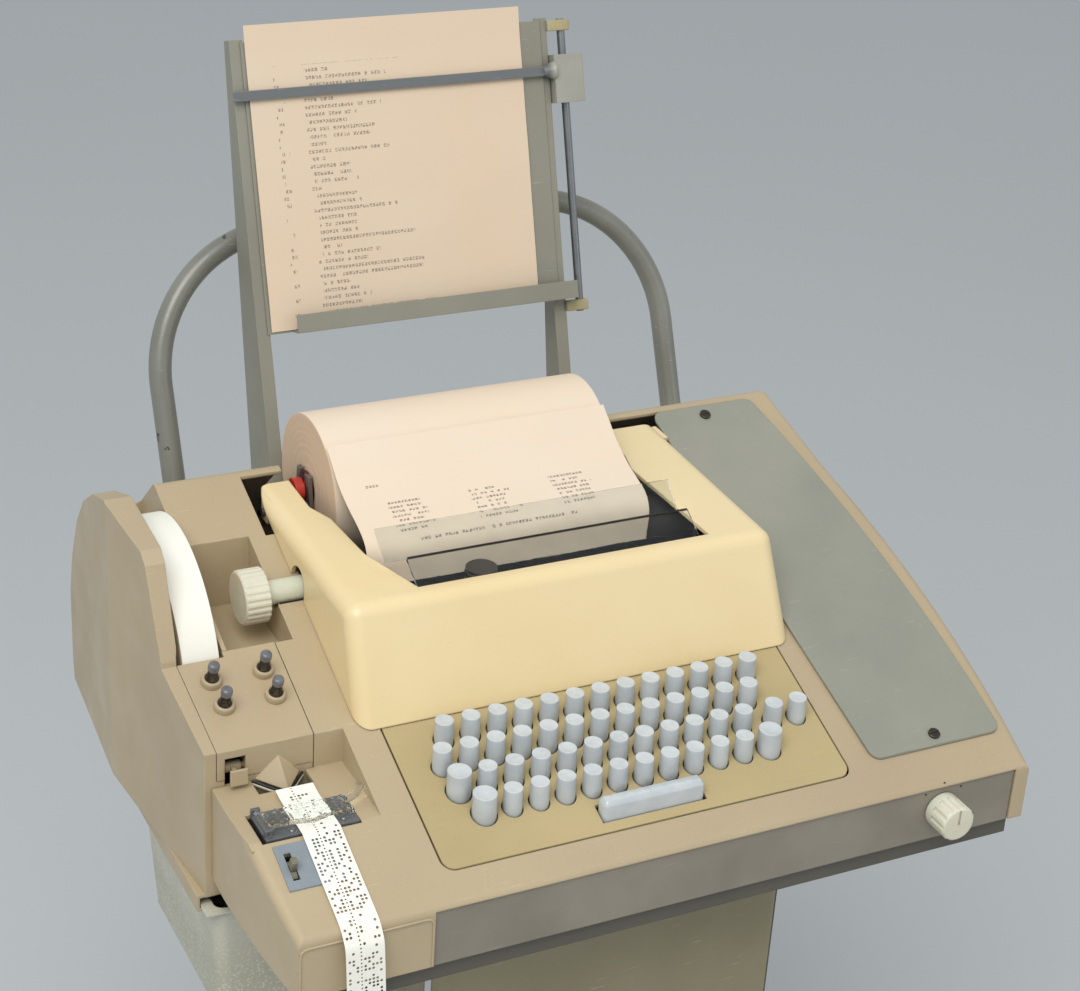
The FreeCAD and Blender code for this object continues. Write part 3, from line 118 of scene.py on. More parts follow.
def turn(bm, origin, axis, profile, steps=48, closed=False, place=Matrix()):
    """Spins (along, radius) points about an axis."""
    axis = Vector(axis).normalized()
    side = axis.orthogonal().normalized()
    other = axis.cross(side)
    rings = []
    for along, radius in profile:
        middle = Vector(origin) + axis * along
        if radius < 1e-6:
            rings.append([middle])
            continue
        angles = [2 * math.pi * i / steps for i in range(steps)]
        rings.append([middle + (side * math.cos(a) + other * math.sin(a)) * radius for a in angles])
    loft(bm, rings, closed, place)


def rounded_outline(x0, x1, y0, y1, radius, steps=6):
    """Corner points of a rectangle with round corners."""
    points = []
    corners = ((x1 - radius, y1 - radius, 0), (x0 + radius, y1 - radius, 90),
               (x0 + radius, y0 + radius, 180), (x1 - radius, y0 + radius, 270))
    for cx, cy, start in corners:
        for i in range(steps + 1):
            angle = math.radians(start + 90 * i / steps)
            points.append((cx + radius * math.cos(angle), cy + radius * math.sin(angle)))
    return points


def block(bm, x0, x1, y0, y1, z0, z1, radius=0.6, place=Matrix()):
    """A block with all its edges rounded."""
    rings = []
    for low in (True, False):
        for i in range(4):
            angle = math.radians(30 * (i if low else 3 - i))
            inset = radius * (1 - math.sin(angle))
            lift = radius * (1 - math.cos(angle))
            z = z0 + lift if low else z1 - lift
            outline = rounded_outline(x0 + inset, x1 - inset, y0 + inset, y1 - inset,
                                      max(radius * 1.1 - inset, 0.05), 3)
            rings.append([(x, y, z) for x, y in outline])
    loft(bm, rings, place=place)


def sweep(bm, points, width, height, up=(0, 0, 1)):
    """A flat bar with soft corners that follows points."""
    points = [Vector(p) for p in points]
    up = Vector(up)
    outline = rounded_outline(-width / 2, width / 2, -height / 2, height / 2, min(width, height) * 0.3, 2)
    rings = []
    for i, point in enumerate(points):
        before = points[max(i - 1, 0)]
        after = points[min(i + 1, len(points) - 1)]
        along = (after - before).normalized()
        side = along.cross(up).normalized()
        rise = side.cross(along).normalized()
        rings.append([point + side * u + rise * v for u, v in outline])
    loft(bm, rings)


def smooth_line(points, count):
    """Evenly spaced points on a smooth curve through the given ones."""
    ends = [2 * Vector(points[0]) - Vector(points[1])] + [Vector(p) for p in points]
    ends.append(2 * Vector(points[-1]) - Vector(points[-2]))
    fine = []
    for i in range(1, len(ends) - 2):
        a, b, c, d = ends[i - 1:i + 3]
        for k in range(24):
            t = k / 24
            fine.append(0.5 * (2 * b + (c - a) * t + (2 * a - 5 * b + 4 * c - d) * t * t
                               + (3 * b - a - 3 * c + d) * t ** 3))
    fine.append(ends[-2])
    lengths = [0.0]
    for a, b in zip(fine, fine[1:]):
        lengths.append(lengths[-1] + (b - a).length)
    out, at = [], 0
    for k in range(count):
        goal = lengths[-1] * k / (count - 1)
        while at < len(fine) - 2 and lengths[at + 1] < goal:
            at += 1
        span = lengths[at + 1] - lengths[at]
        out.append(fine[at].lerp(fine[at + 1], (goal - lengths[at]) / span if span else 0))
    return out, lengths[-1]


def finish_piece(name, bm, body, material, replaces=(), sharp=35.0):
    """Turns drawn millimetres into a piece of the scene that rides on its body."""
    bmesh.ops.recalc_face_normals(bm, faces=bm.faces)
    bm.transform(TO_SCENE)
    mesh = bpy.data.meshes.new(name)
    bm.to_mesh(mesh)
    bm.free()
    mesh.polygons.foreach_set("use_smooth", [True] * len(mesh.polygons))
    mesh.set_sharp_from_angle(angle=math.radians(sharp))
    mesh.materials.append(material)
    piece = bpy.data.objects.new(name, mesh)
    bpy.context.scene.collection.objects.link(piece)
    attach(piece, body)
    if replaces:
        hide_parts(*replaces)
    return piece


# Shader helpers
def add(tree, kind, feeds=None, **settings):
    """Adds a shader node, sets it up and links or fills its inputs."""
    made = tree.nodes.new("ShaderNode" + kind)
    for key, value in settings.items():
        setattr(made, key, value)
    for socket, value in (feeds or {}).items():
        target = made.inputs[socket]
        if isinstance(value, bpy.types.NodeSocket):
            tree.links.new(value, target)
        else:
            target.default_value = value
    return made


def maths(tree, operation, a, b=0.0, c=0.0):
    """One sum on values that change over the surface."""
    return add(tree, "Math", {0: a, 1: b, 2: c}, operation=operation).outputs[0]


def mix_colour(tree, share, a, b):
    """A mix of two colours."""
    return add(tree, "Mix", {0: share, 6: a, 7: b}, data_type="RGBA").outputs[2]


def ramp(tree, value, low, high, to_low=0.0, to_high=1.0):
    """Maps a value from one range to another and keeps it inside."""
    return add(tree, "MapRange", {0: value, 1: low, 2: high, 3: to_low, 4: to_high}).outputs[0]


def object_place(tree):
    """Coordinates fixed to the piece."""
    return add(tree, "TexCoord").outputs["Object"]


def new_group(name, inputs, outputs):
    """An empty shader group with named sockets."""
    tree = bpy.data.node_groups.new(name, "ShaderNodeTree")
    for label, kind, value in inputs:
        socket = tree.interface.new_socket(label, in_out="INPUT", socket_type="NodeSocket" + kind)
        socket.default_value = value
    for label, kind in outputs:
        tree.interface.new_socket(label, in_out="OUTPUT", socket_type="NodeSocket" + kind)
    return tree, tree.nodes.new("NodeGroupInput").outputs, tree.nodes.new("NodeGroupOutput").inputs


def use_group(tree, name, feeds):
    """Places a shader group in a material."""
    return add(tree, "Group", feeds, node_tree=bpy.data.node_groups[name]).outputs


def group_tone_drift():
    """Slow change of colour over a large surface, with small specks."""
    tree, given, out = new_group("Tone drift", [
        ("Colour", "Color", (0.5, 0.5, 0.5, 1)), ("Tint", "Color", (0.4, 0.4, 0.4, 1)),
        ("Scale", "Float", 12.0), ("Amount", "Float", 0.5), ("Speck", "Float", 0.1)], [("Colour", "Color")])
    place = object_place(tree)
    slow = add(tree, "TexNoise", {"Vector": place, "Scale": given["Scale"], "Detail": 4.0}).outputs[0]
    share = maths(tree, "MULTIPLY", ramp(tree, slow, 0.35, 0.68), given["Amount"])
    base = mix_colour(tree, share, given["Colour"], given["Tint"])
    fine = add(tree, "TexNoise", {"Vector": place, "Scale": 900.0, "Detail": 2.0}).outputs[0]
    dark = maths(tree, "MULTIPLY", ramp(tree, fine, 0.60, 0.72), given["Speck"])
    speck = mix_colour(tree, dark, base, (0.05, 0.04, 0.03, 1))
    tree.links.new(speck, out["Colour"])


def group_edges():
    """Finds outer edges, for wear and painted highlight, and inner corners, for painted shade, and softens the
    edges' shading.
    """
    tree, given, out = new_group("Edges and corners", [
        ("Width", "Float", 0.0015), ("Reach", "Float", 0.02), ("Breakup", "Float", 60.0)],
        [("Edge", "Float"), ("Corner", "Float"), ("Normal", "Vector")])
    round_ = add(tree, "Bevel", {"Radius": given["Width"]}, samples=4).outputs[0]
    true = add(tree, "NewGeometry").outputs["Normal"]
    dot = add(tree, "VectorMath", {0: round_, 1: true}, operation="DOT_PRODUCT").outputs["Value"]
    bend = ramp(tree, dot, 0.995, 0.86)
    shade = add(tree, "AmbientOcclusion", {"Distance": given["Reach"]}, samples=4).outputs["AO"]
    patch = add(tree, "TexNoise", {"Vector": object_place(tree), "Scale": given["Breakup"],
                                   "Detail": 3.0}).outputs[0]
    open_ = ramp(tree, shade, 0.45, 0.75)
    # Edge mask: outer edges in the open, lightened later as wear and painted highlight
    outer = maths(tree, "MULTIPLY", bend, open_)
    edge = maths(tree, "MULTIPLY", outer, ramp(tree, patch, 0.38, 0.62, 0.35, 1.0))
    # Corner mask: enclosed places, darkened later as painted shade
    corner = maths(tree, "MULTIPLY", ramp(tree, shade, 0.75, 0.25), ramp(tree, patch, 0.3, 0.6, 0.4, 1.0))
    tree.links.new(edge, out["Edge"])
    tree.links.new(corner, out["Corner"])
    tree.links.new(round_, out["Normal"])


def group_relief():
    """Fine unevenness of a moulded, painted or cast surface."""
    tree, given, out = new_group("Fine relief", [("Scale", "Float", 800.0), ("Coarse", "Float", 0.3)],
                                 [("Height", "Float"), ("Mask", "Float")])
    place = object_place(tree)
    fine = add(tree, "TexNoise", {"Vector": place, "Scale": given["Scale"], "Detail": 3.0}).outputs[0]
    broad = add(tree, "TexNoise", {"Vector": place, "Scale": 28.0, "Detail": 2.0}).outputs[0]
    height = maths(tree, "ADD", fine, maths(tree, "MULTIPLY", broad, given["Coarse"]))
    tree.links.new(height, out["Height"])
    tree.links.new(broad, out["Mask"])


def group_scuffs():
    """Thin scratches and rubbed spots."""
    tree, given, out = new_group("Scuffs", [("Scale", "Float", 40.0), ("Amount", "Float", 0.4)],
                                 [("Mask", "Float")])
    place = object_place(tree)
    masks = []
    streak_scale = maths(tree, "MULTIPLY", given["Scale"], 22.0)
    for turned, stretch in (((0.3, 0.2, 0.9), (1.0, 0.04, 1.0)), ((1.1, 0.5, 0.1), (0.05, 1.0, 1.0))):
        tilted = add(tree, "Mapping", {"Vector": place, "Rotation": turned, "Scale": stretch}).outputs[0]
        streak = add(tree, "TexNoise", {"Vector": tilted, "Scale": streak_scale, "Detail": 1.0}).outputs[0]
        masks.append(ramp(tree, streak, 0.70, 0.76))
    patch = add(tree, "TexNoise", {"Vector": place, "Scale": given["Scale"], "Detail": 2.0}).outputs[0]
    lines = maths(tree, "MULTIPLY", maths(tree, "MAXIMUM", *masks), ramp(tree, patch, 0.48, 0.60))
    tree.links.new(maths(tree, "MULTIPLY", lines, given["Amount"]), out["Mask"])


def group_wound():
    """Rings of a wound sheet, seen on its end."""
    tree, given, out = new_group("Wound layers", [
        ("Centre", "Vector", (0, 0, 0)), ("Across", "Vector", (0, 1, 1)), ("Rings", "Float", 900.0)],
        [("Mask", "Float")])
    place = object_place(tree)
    apart = add(tree, "VectorMath", {0: place, 1: given["Centre"]}, operation="SUBTRACT").outputs[0]
    flat = add(tree, "VectorMath", {0: apart, 1: given["Across"]}, operation="MULTIPLY").outputs[0]
    far = add(tree, "VectorMath", {0: flat}, operation="LENGTH").outputs["Value"]
    rings = add(tree, "TexNoise", {"W": maths(tree, "MULTIPLY", far, given["Rings"]), "Scale": 1.0,
                                   "Detail": 3.0}, noise_dimensions="1D").outputs[0]
    tree.links.new(ramp(tree, rings, 0.3, 0.7), out["Mask"])


def group_typed():
    """Rows of small typed marks that spell nothing."""
    tree, given, out = new_group("Typed rows", [
        ("Place", "Vector", (0, 0, 0)), ("Left", "Float", 20.0), ("Shortest", "Float", 10.0),
        ("Longest", "Float", 80.0), ("Top", "Float", 10.0), ("Bottom", "Float", 200.0),
        ("Row pitch", "Float", 4.23), ("Stagger", "Float", 0.0), ("Filled", "Float", 0.8),
        ("Seed", "Float", 1.0)],
        [("Mask", "Float")])
    split = add(tree, "SeparateXYZ", {0: given["Place"]}).outputs
    v = maths(tree, "DIVIDE", split["Y"], given["Row pitch"])
    row = maths(tree, "FLOOR", v)
    band = maths(tree, "FRACT", v)
    seed = maths(tree, "ADD", row, maths(tree, "MULTIPLY", given["Seed"], 31.7))
    pick = add(tree, "TexWhiteNoise", {"W": seed}, noise_dimensions="1D").outputs
    tone = add(tree, "SeparateColor", {0: pick["Color"]}).outputs
    start = maths(tree, "ADD", given["Left"], maths(tree, "MULTIPLY", maths(tree, "FLOOR", maths(
        tree, "MULTIPLY", tone[0], 3.0)), given["Stagger"]))
    span = maths(tree, "MULTIPLY", maths(tree, "SUBTRACT", given["Longest"], given["Shortest"]),
                 maths(tree, "POWER", tone[1], 1.6))
    stop = maths(tree, "ADD", start, maths(tree, "ADD", given["Shortest"], span))
    u = maths(tree, "DIVIDE", split["X"], TYPED_PITCH)
    cell = maths(tree, "FLOOR", u)
    inner = maths(tree, "FRACT", u)
    spot = add(tree, "CombineXYZ", {0: cell, 1: seed}).outputs[0]
    filled = add(tree, "TexWhiteNoise", {"Vector": spot}, noise_dimensions="2D").outputs["Value"]
    stroke = add(tree, "CombineXYZ", {0: maths(tree, "MULTIPLY", u, 2.3), 1: maths(tree, "MULTIPLY", v, 4.2)})
    ink = add(tree, "TexNoise", {"Vector": stroke.outputs[0], "Scale": 1.0, "Detail": 1.0}).outputs[0]
    tests = [maths(tree, "GREATER_THAN", split["X"], start), maths(tree, "LESS_THAN", split["X"], stop),
             maths(tree, "GREATER_THAN", split["Y"], given["Top"]),
             maths(tree, "LESS_THAN", split["Y"], given["Bottom"]),
             maths(tree, "GREATER_THAN", band, 0.25), maths(tree, "LESS_THAN", band, 0.72),
             maths(tree, "GREATER_THAN", inner, 0.1), maths(tree, "LESS_THAN", inner, 0.86),
             maths(tree, "LESS_THAN", filled, given["Filled"]), ramp(tree, ink, 0.42, 0.5)]
    mask = tests[0]
    for test in tests[1:]:
        mask = maths(tree, "MULTIPLY", mask, test)
    tree.links.new(mask, out["Mask"])


GROUPS = (group_tone_drift, group_edges, group_relief, group_scuffs, group_wound, group_typed)


def new_material(name, colour):
    """A material with its shader, and a plain colour for the viewport."""
    material = bpy.data.materials.new(name)
    material.use_nodes = True
    material.diffuse_color = rgba(colour)
    tree = material.node_tree
    return material, tree, tree.nodes["Principled BSDF"]


def surface(name, colour, tint=None, drift=(12.0, 0.5), speck=0.1, rough=0.5, vary=0.08, relief=(800.0, 0.12),
            edge=None, edge_amount=0.5, edge_width=0.0012, corner=None, corner_shade_amount=0.4, reach=0.015,
            scuff=0.0, metal=0.0, coat=0.0, extra=None):
    """A painted, moulded or metal finish with drift, relief, edges lightened as wear and painted highlight,
    and painted shade in inner corners.
    """
    colour, tint, edge, corner = (linear(c) if isinstance(c, str) else c for c in (colour, tint, edge, corner))
    material, tree, shader = new_material(name, colour)
    tint = tint or tuple(c * 0.82 for c in colour)
    base = use_group(tree, "Tone drift", {"Colour": rgba(colour), "Tint": rgba(tint), "Scale": drift[0],
                                          "Amount": drift[1], "Speck": speck})["Colour"]
    if extra:
        base = extra(tree, base)
    worn_lit_edges_shaded_corners = use_group(tree, "Edges and corners", {"Width": edge_width, "Reach": reach})
    # Lighter colour for the edges, as wear and painted highlight, and for the scuffs
    light = edge or tuple(min(c * 1.45 + 0.03, 0.9) for c in colour)
    base = mix_colour(tree, maths(tree, "MULTIPLY", worn_lit_edges_shaded_corners["Edge"], edge_amount), base, rgba(light))
    # Painted shade: inner corners are darkened towards this colour
    dark = corner or tuple(c * 0.35 for c in colour)
    base = mix_colour(tree, maths(tree, "MULTIPLY", worn_lit_edges_shaded_corners["Corner"], corner_shade_amount), base, rgba(dark))
    bumps = use_group(tree, "Fine relief", {"Scale": relief[0]})
    if scuff:
        scuffs = use_group(tree, "Scuffs", {"Amount": scuff})["Mask"]
        base = mix_colour(tree, scuffs, base, rgba(light))
    gloss = ramp(tree, bumps["Mask"], 0.3, 0.7, rough - vary, rough + vary)
    bump = add(tree, "Bump", {"Strength": relief[1], "Distance": 0.0006, "Height": bumps["Height"],
                              "Normal": worn_lit_edges_shaded_corners["Normal"]})
    tree.links.new(base, shader.inputs["Base Color"])
    tree.links.new(gloss, shader.inputs["Roughness"])
    tree.links.new(bump.outputs[0], shader.inputs["Normal"])
    shader.inputs["Metallic"].default_value = metal
    shader.inputs["Coat Weight"].default_value = coat
    shader.inputs["Coat Roughness"].default_value = 0.25
    return material


def clear_surface(name, colour, rough=0.06, wave=0.3):
    """Clear moulded plastic with an uneven face."""
    material, tree, shader = new_material(name, colour)
    base = use_group(tree, "Tone drift", {"Colour": rgba(colour), "Tint": rgba(tuple(c * 0.9 for c in colour)),
                                          "Scale": 60.0, "Amount": 0.5, "Speck": 0.0})["Colour"]
    bumps = use_group(tree, "Fine relief", {"Scale": 160.0, "Coarse": 2.0})
    gloss = ramp(tree, bumps["Mask"], 0.3, 0.7, rough * 0.6, rough * 1.6)
    bump = add(tree, "Bump", {"Strength": wave, "Distance": 0.0008, "Height": bumps["Height"]})
    tree.links.new(base, shader.inputs["Base Color"])
    tree.links.new(gloss, shader.inputs["Roughness"])
    tree.links.new(bump.outputs[0], shader.inputs["Normal"])
    shadow = add(tree, "LightPath").outputs["Is Shadow Ray"]
    tree.links.new(maths(tree, "MULTIPLY_ADD", shadow, -0.9, 1.0), shader.inputs["Alpha"])
    shader.inputs["Transmission Weight"].default_value = 1.0
    shader.inputs["IOR"].default_value = 1.3
    return material


def paper_surface(name, colour, blocks=(), centre=None, ink=0.75):
    """Paper with faint fibres, and typed rows or wound ends where it has them; the wound ends are darkened
    partly as painted shade.
    """
    material, tree, shader = new_material(name, colour)
    warm = rgba((colour[0], colour[1] * 0.95, colour[2] * 0.88))
    base = use_group(tree, "Tone drift", {"Colour": rgba(colour), "Tint": warm, "Scale": 9.0, "Amount": 0.45,
                                          "Speck": 0.05})["Colour"]
    if centre is not None:
        rings = use_group(tree, "Wound layers", {"Centre": centre, "Rings": 2600.0})["Mask"]
        # End faces, found by their facing, are darkened tan with rings: the layered edges' own tone, and
        # painted shade
        facing = add(tree, "SeparateXYZ", {0: add(tree, "NewGeometry").outputs["Normal"]}).outputs["X"]
        end = ramp(tree, maths(tree, "ABSOLUTE", facing), 0.5, 0.9)
        end_rings_and_shade = mix_colour(tree, rings, rgba((colour[0] * 0.76, colour[1] * 0.64, colour[2] * 0.55)),
                              rgba((colour[0] * 0.96, colour[1] * 0.88, colour[2] * 0.80)))
        base = mix_colour(tree, end, base, end_rings_and_shade)
    if blocks:
        place = add(tree, "Attribute", attribute_name="sheet_mm").outputs["Vector"]
        mask = None
        for i, block_ in enumerate(blocks):
            rows = use_group(tree, "Typed rows", {"Place": place, "Seed": float(i + 1), **block_})["Mask"]
            mask = maths(tree, "MAXIMUM", mask, rows) if mask else rows
        base = mix_colour(tree, maths(tree, "MULTIPLY", mask, ink), base, (0.05, 0.045, 0.06, 1))
    fibres = use_group(tree, "Fine relief", {"Scale": 1600.0, "Coarse": 1.2})
    bump = add(tree, "Bump", {"Strength": 0.08, "Distance": 0.0004, "Height": fibres["Height"]})
    tree.links.new(base, shader.inputs["Base Color"])
    tree.links.new(ramp(tree, fibres["Mask"], 0.3, 0.7, 0.78, 0.92), shader.inputs["Roughness"])
    tree.links.new(bump.outputs[0], shader.inputs["Normal"])
    shader.inputs["Specular IOR Level"].default_value = 0.3
    return material


def chips(tree, base):
    """Dark chips where paint has come off a tube."""
    cells = add(tree, "TexNoise", {"Vector": object_place(tree), "Scale": 75.0, "Detail": 5.0}).outputs[0]
    zone = add(tree, "TexNoise", {"Vector": object_place(tree), "Scale": 14.0}).outputs[0]
    mask = maths(tree, "MULTIPLY", ramp(tree, cells, 0.66, 0.69), ramp(tree, zone, 0.50, 0.56))
    return mix_colour(tree, mask, base, rgba(linear("3A332A")))


def lit_key_tops(tree, base):
    """Tops of keys are painted paler than their sides, in patches, as painted light from above."""
    up = add(tree, "SeparateXYZ", {0: add(tree, "NewGeometry").outputs["Normal"]}).outputs["Z"]
    patch = add(tree, "TexNoise", {"Vector": object_place(tree), "Scale": 190.0, "Detail": 3.0}).outputs[0]
    share = maths(tree, "MULTIPLY", ramp(tree, up, 0.55, 0.95), ramp(tree, patch, 0.35, 0.65, 0.2, 0.6))
    return mix_colour(tree, share, base, rgba(linear("D3D9DB")))


def grains(tree, base):
    """Pale and dark grains seen through the wall of a bin."""
    cells = add(tree, "TexVoronoi", {"Vector": object_place(tree), "Scale": 420.0}).outputs["Distance"]
    low = add(tree, "SeparateXYZ", {0: object_place(tree)}).outputs["Z"]
    share = maths(tree, "MULTIPLY", ramp(tree, cells, 0.15, 0.45), ramp(tree, low, 0.60, 0.56, 0.25, 0.8))
    return mix_colour(tree, share, base, rgba(linear("A9A792")))


def bar_and_block(tree, base):
    """The guide's bar is darker than the block that carries it."""
    across = add(tree, "SeparateXYZ", {0: object_place(tree)}).outputs["X"]
    return mix_colour(tree, ramp(tree, across, 0.113, 0.1165), rgba(linear("686C6E")), base)


# Sizes and colours that a user may change
class TeleprinterColours(bpy.types.PropertyGroup):
    """Colours of the main finishes."""
    cover: bpy.props.FloatVectorProperty(name="Cover", description="Paint of the moulded cover and punch case",
                                         subtype="COLOR", min=0, max=1, default=linear("B9A888"))
    hood: bpy.props.FloatVectorProperty(name="Hood", description="Plastic of the hood over the printer",
                                        subtype="COLOR", min=0, max=1, default=linear("EBD8AA"))
    plate: bpy.props.FloatVectorProperty(name="Keyboard plate", description="Paint of the keyboard plate",
                                         subtype="COLOR", min=0, max=1, default=linear("BCAA7E"))
    lid: bpy.props.FloatVectorProperty(name="Lid", description="Paint of the control unit's lid",
                                       subtype="COLOR", min=0, max=1, default=linear("98998C"))
    fascia: bpy.props.FloatVectorProperty(name="Fascia", description="Paint of the front strip",
                                          subtype="COLOR", min=0, max=1, default=linear("8F887A"))
    keys: bpy.props.FloatVectorProperty(name="Keys", description="Plastic of the keys and space bar",
                                        subtype="COLOR", min=0, max=1, default=linear("C6CCCF"))
    holder: bpy.props.FloatVectorProperty(name="Copy holder", description="Paint of the copy holder",
                                          subtype="COLOR", min=0, max=1, default=linear("8E8D80"))
    hoop: bpy.props.FloatVectorProperty(name="Hoop", description="Paint of the bent tube behind the machine",
                                        subtype="COLOR", min=0, max=1, default=linear("7F8077"))
    stand: bpy.props.FloatVectorProperty(name="Stand", description="Paint of the pedestal and its feet",
                                         subtype="COLOR", min=0, max=1, default=linear("9A9174"))
    roll: bpy.props.FloatVectorProperty(name="Page paper", description="Paper of the roll and the page",
                                        subtype="COLOR", min=0, max=1, default=linear("E6D6C2"))
    tape: bpy.props.FloatVectorProperty(name="Tape", description="Paper of the punched tape",
                                        subtype="COLOR", min=0, max=1, default=linear("F1F2EA"))


class TeleprinterSizes(bpy.types.PropertyGroup):
    """Sizes of the loose and small pieces."""
    key_dish: bpy.props.FloatProperty(name="Key dish", description="Radius of the hollow in a key's top, mm",
                                      default=26.0, min=15.0, max=80.0)
    data_hole: bpy.props.FloatProperty(name="Data hole", description="Width of a code hole in the tape, in mm",
                                       default=1.83, min=0.8, max=2.2)
    feed_hole: bpy.props.FloatProperty(name="Feed hole", description="Width of a feed hole in the tape, in mm",
                                       default=1.17, min=0.6, max=1.8)
    paper: bpy.props.FloatProperty(name="Paper", description="Thickness of a sheet of paper, in mm",
                                   default=0.25, min=0.1, max=0.4)
    chads: bpy.props.IntProperty(name="Chads", description="Number of punched-out discs in the bin",
                                 default=1300, min=0, max=5000)


class TeleprinterStudio(bpy.types.PropertyGroup):
    """Camera and light."""
    lens: bpy.props.FloatProperty(name="Lens", description="Focal length of the camera",
                                  subtype="DISTANCE_CAMERA", default=77.14, min=20.0, max=200.0)
    sky: bpy.props.FloatProperty(name="Sky", description="Strength of the light from all round",
                                 subtype="FACTOR", default=0.6, min=0.0, max=1.0)
    key_lamp: bpy.props.FloatProperty(name="Main lamp", description="Power of the large soft lamp",
                                      subtype="POWER", unit="POWER", default=72.0, min=0.0, max=500.0)
    fill_lamp: bpy.props.FloatProperty(name="Second lamp", description="Power of the lamp on the other side",
                                       subtype="POWER", unit="POWER", default=7.0, min=0.0, max=500.0)
    floor: bpy.props.FloatVectorProperty(name="Floor", description="Colour of the plain floor",
                                         subtype="COLOR", min=0, max=1, default=linear("C2C7C9"))


def colours():
    """The scene's colours."""
    return bpy.context.scene.teleprinter_colours


def sizes():
    """The scene's sizes."""
    return bpy.context.scene.teleprinter_sizes


MATERIALS = {}


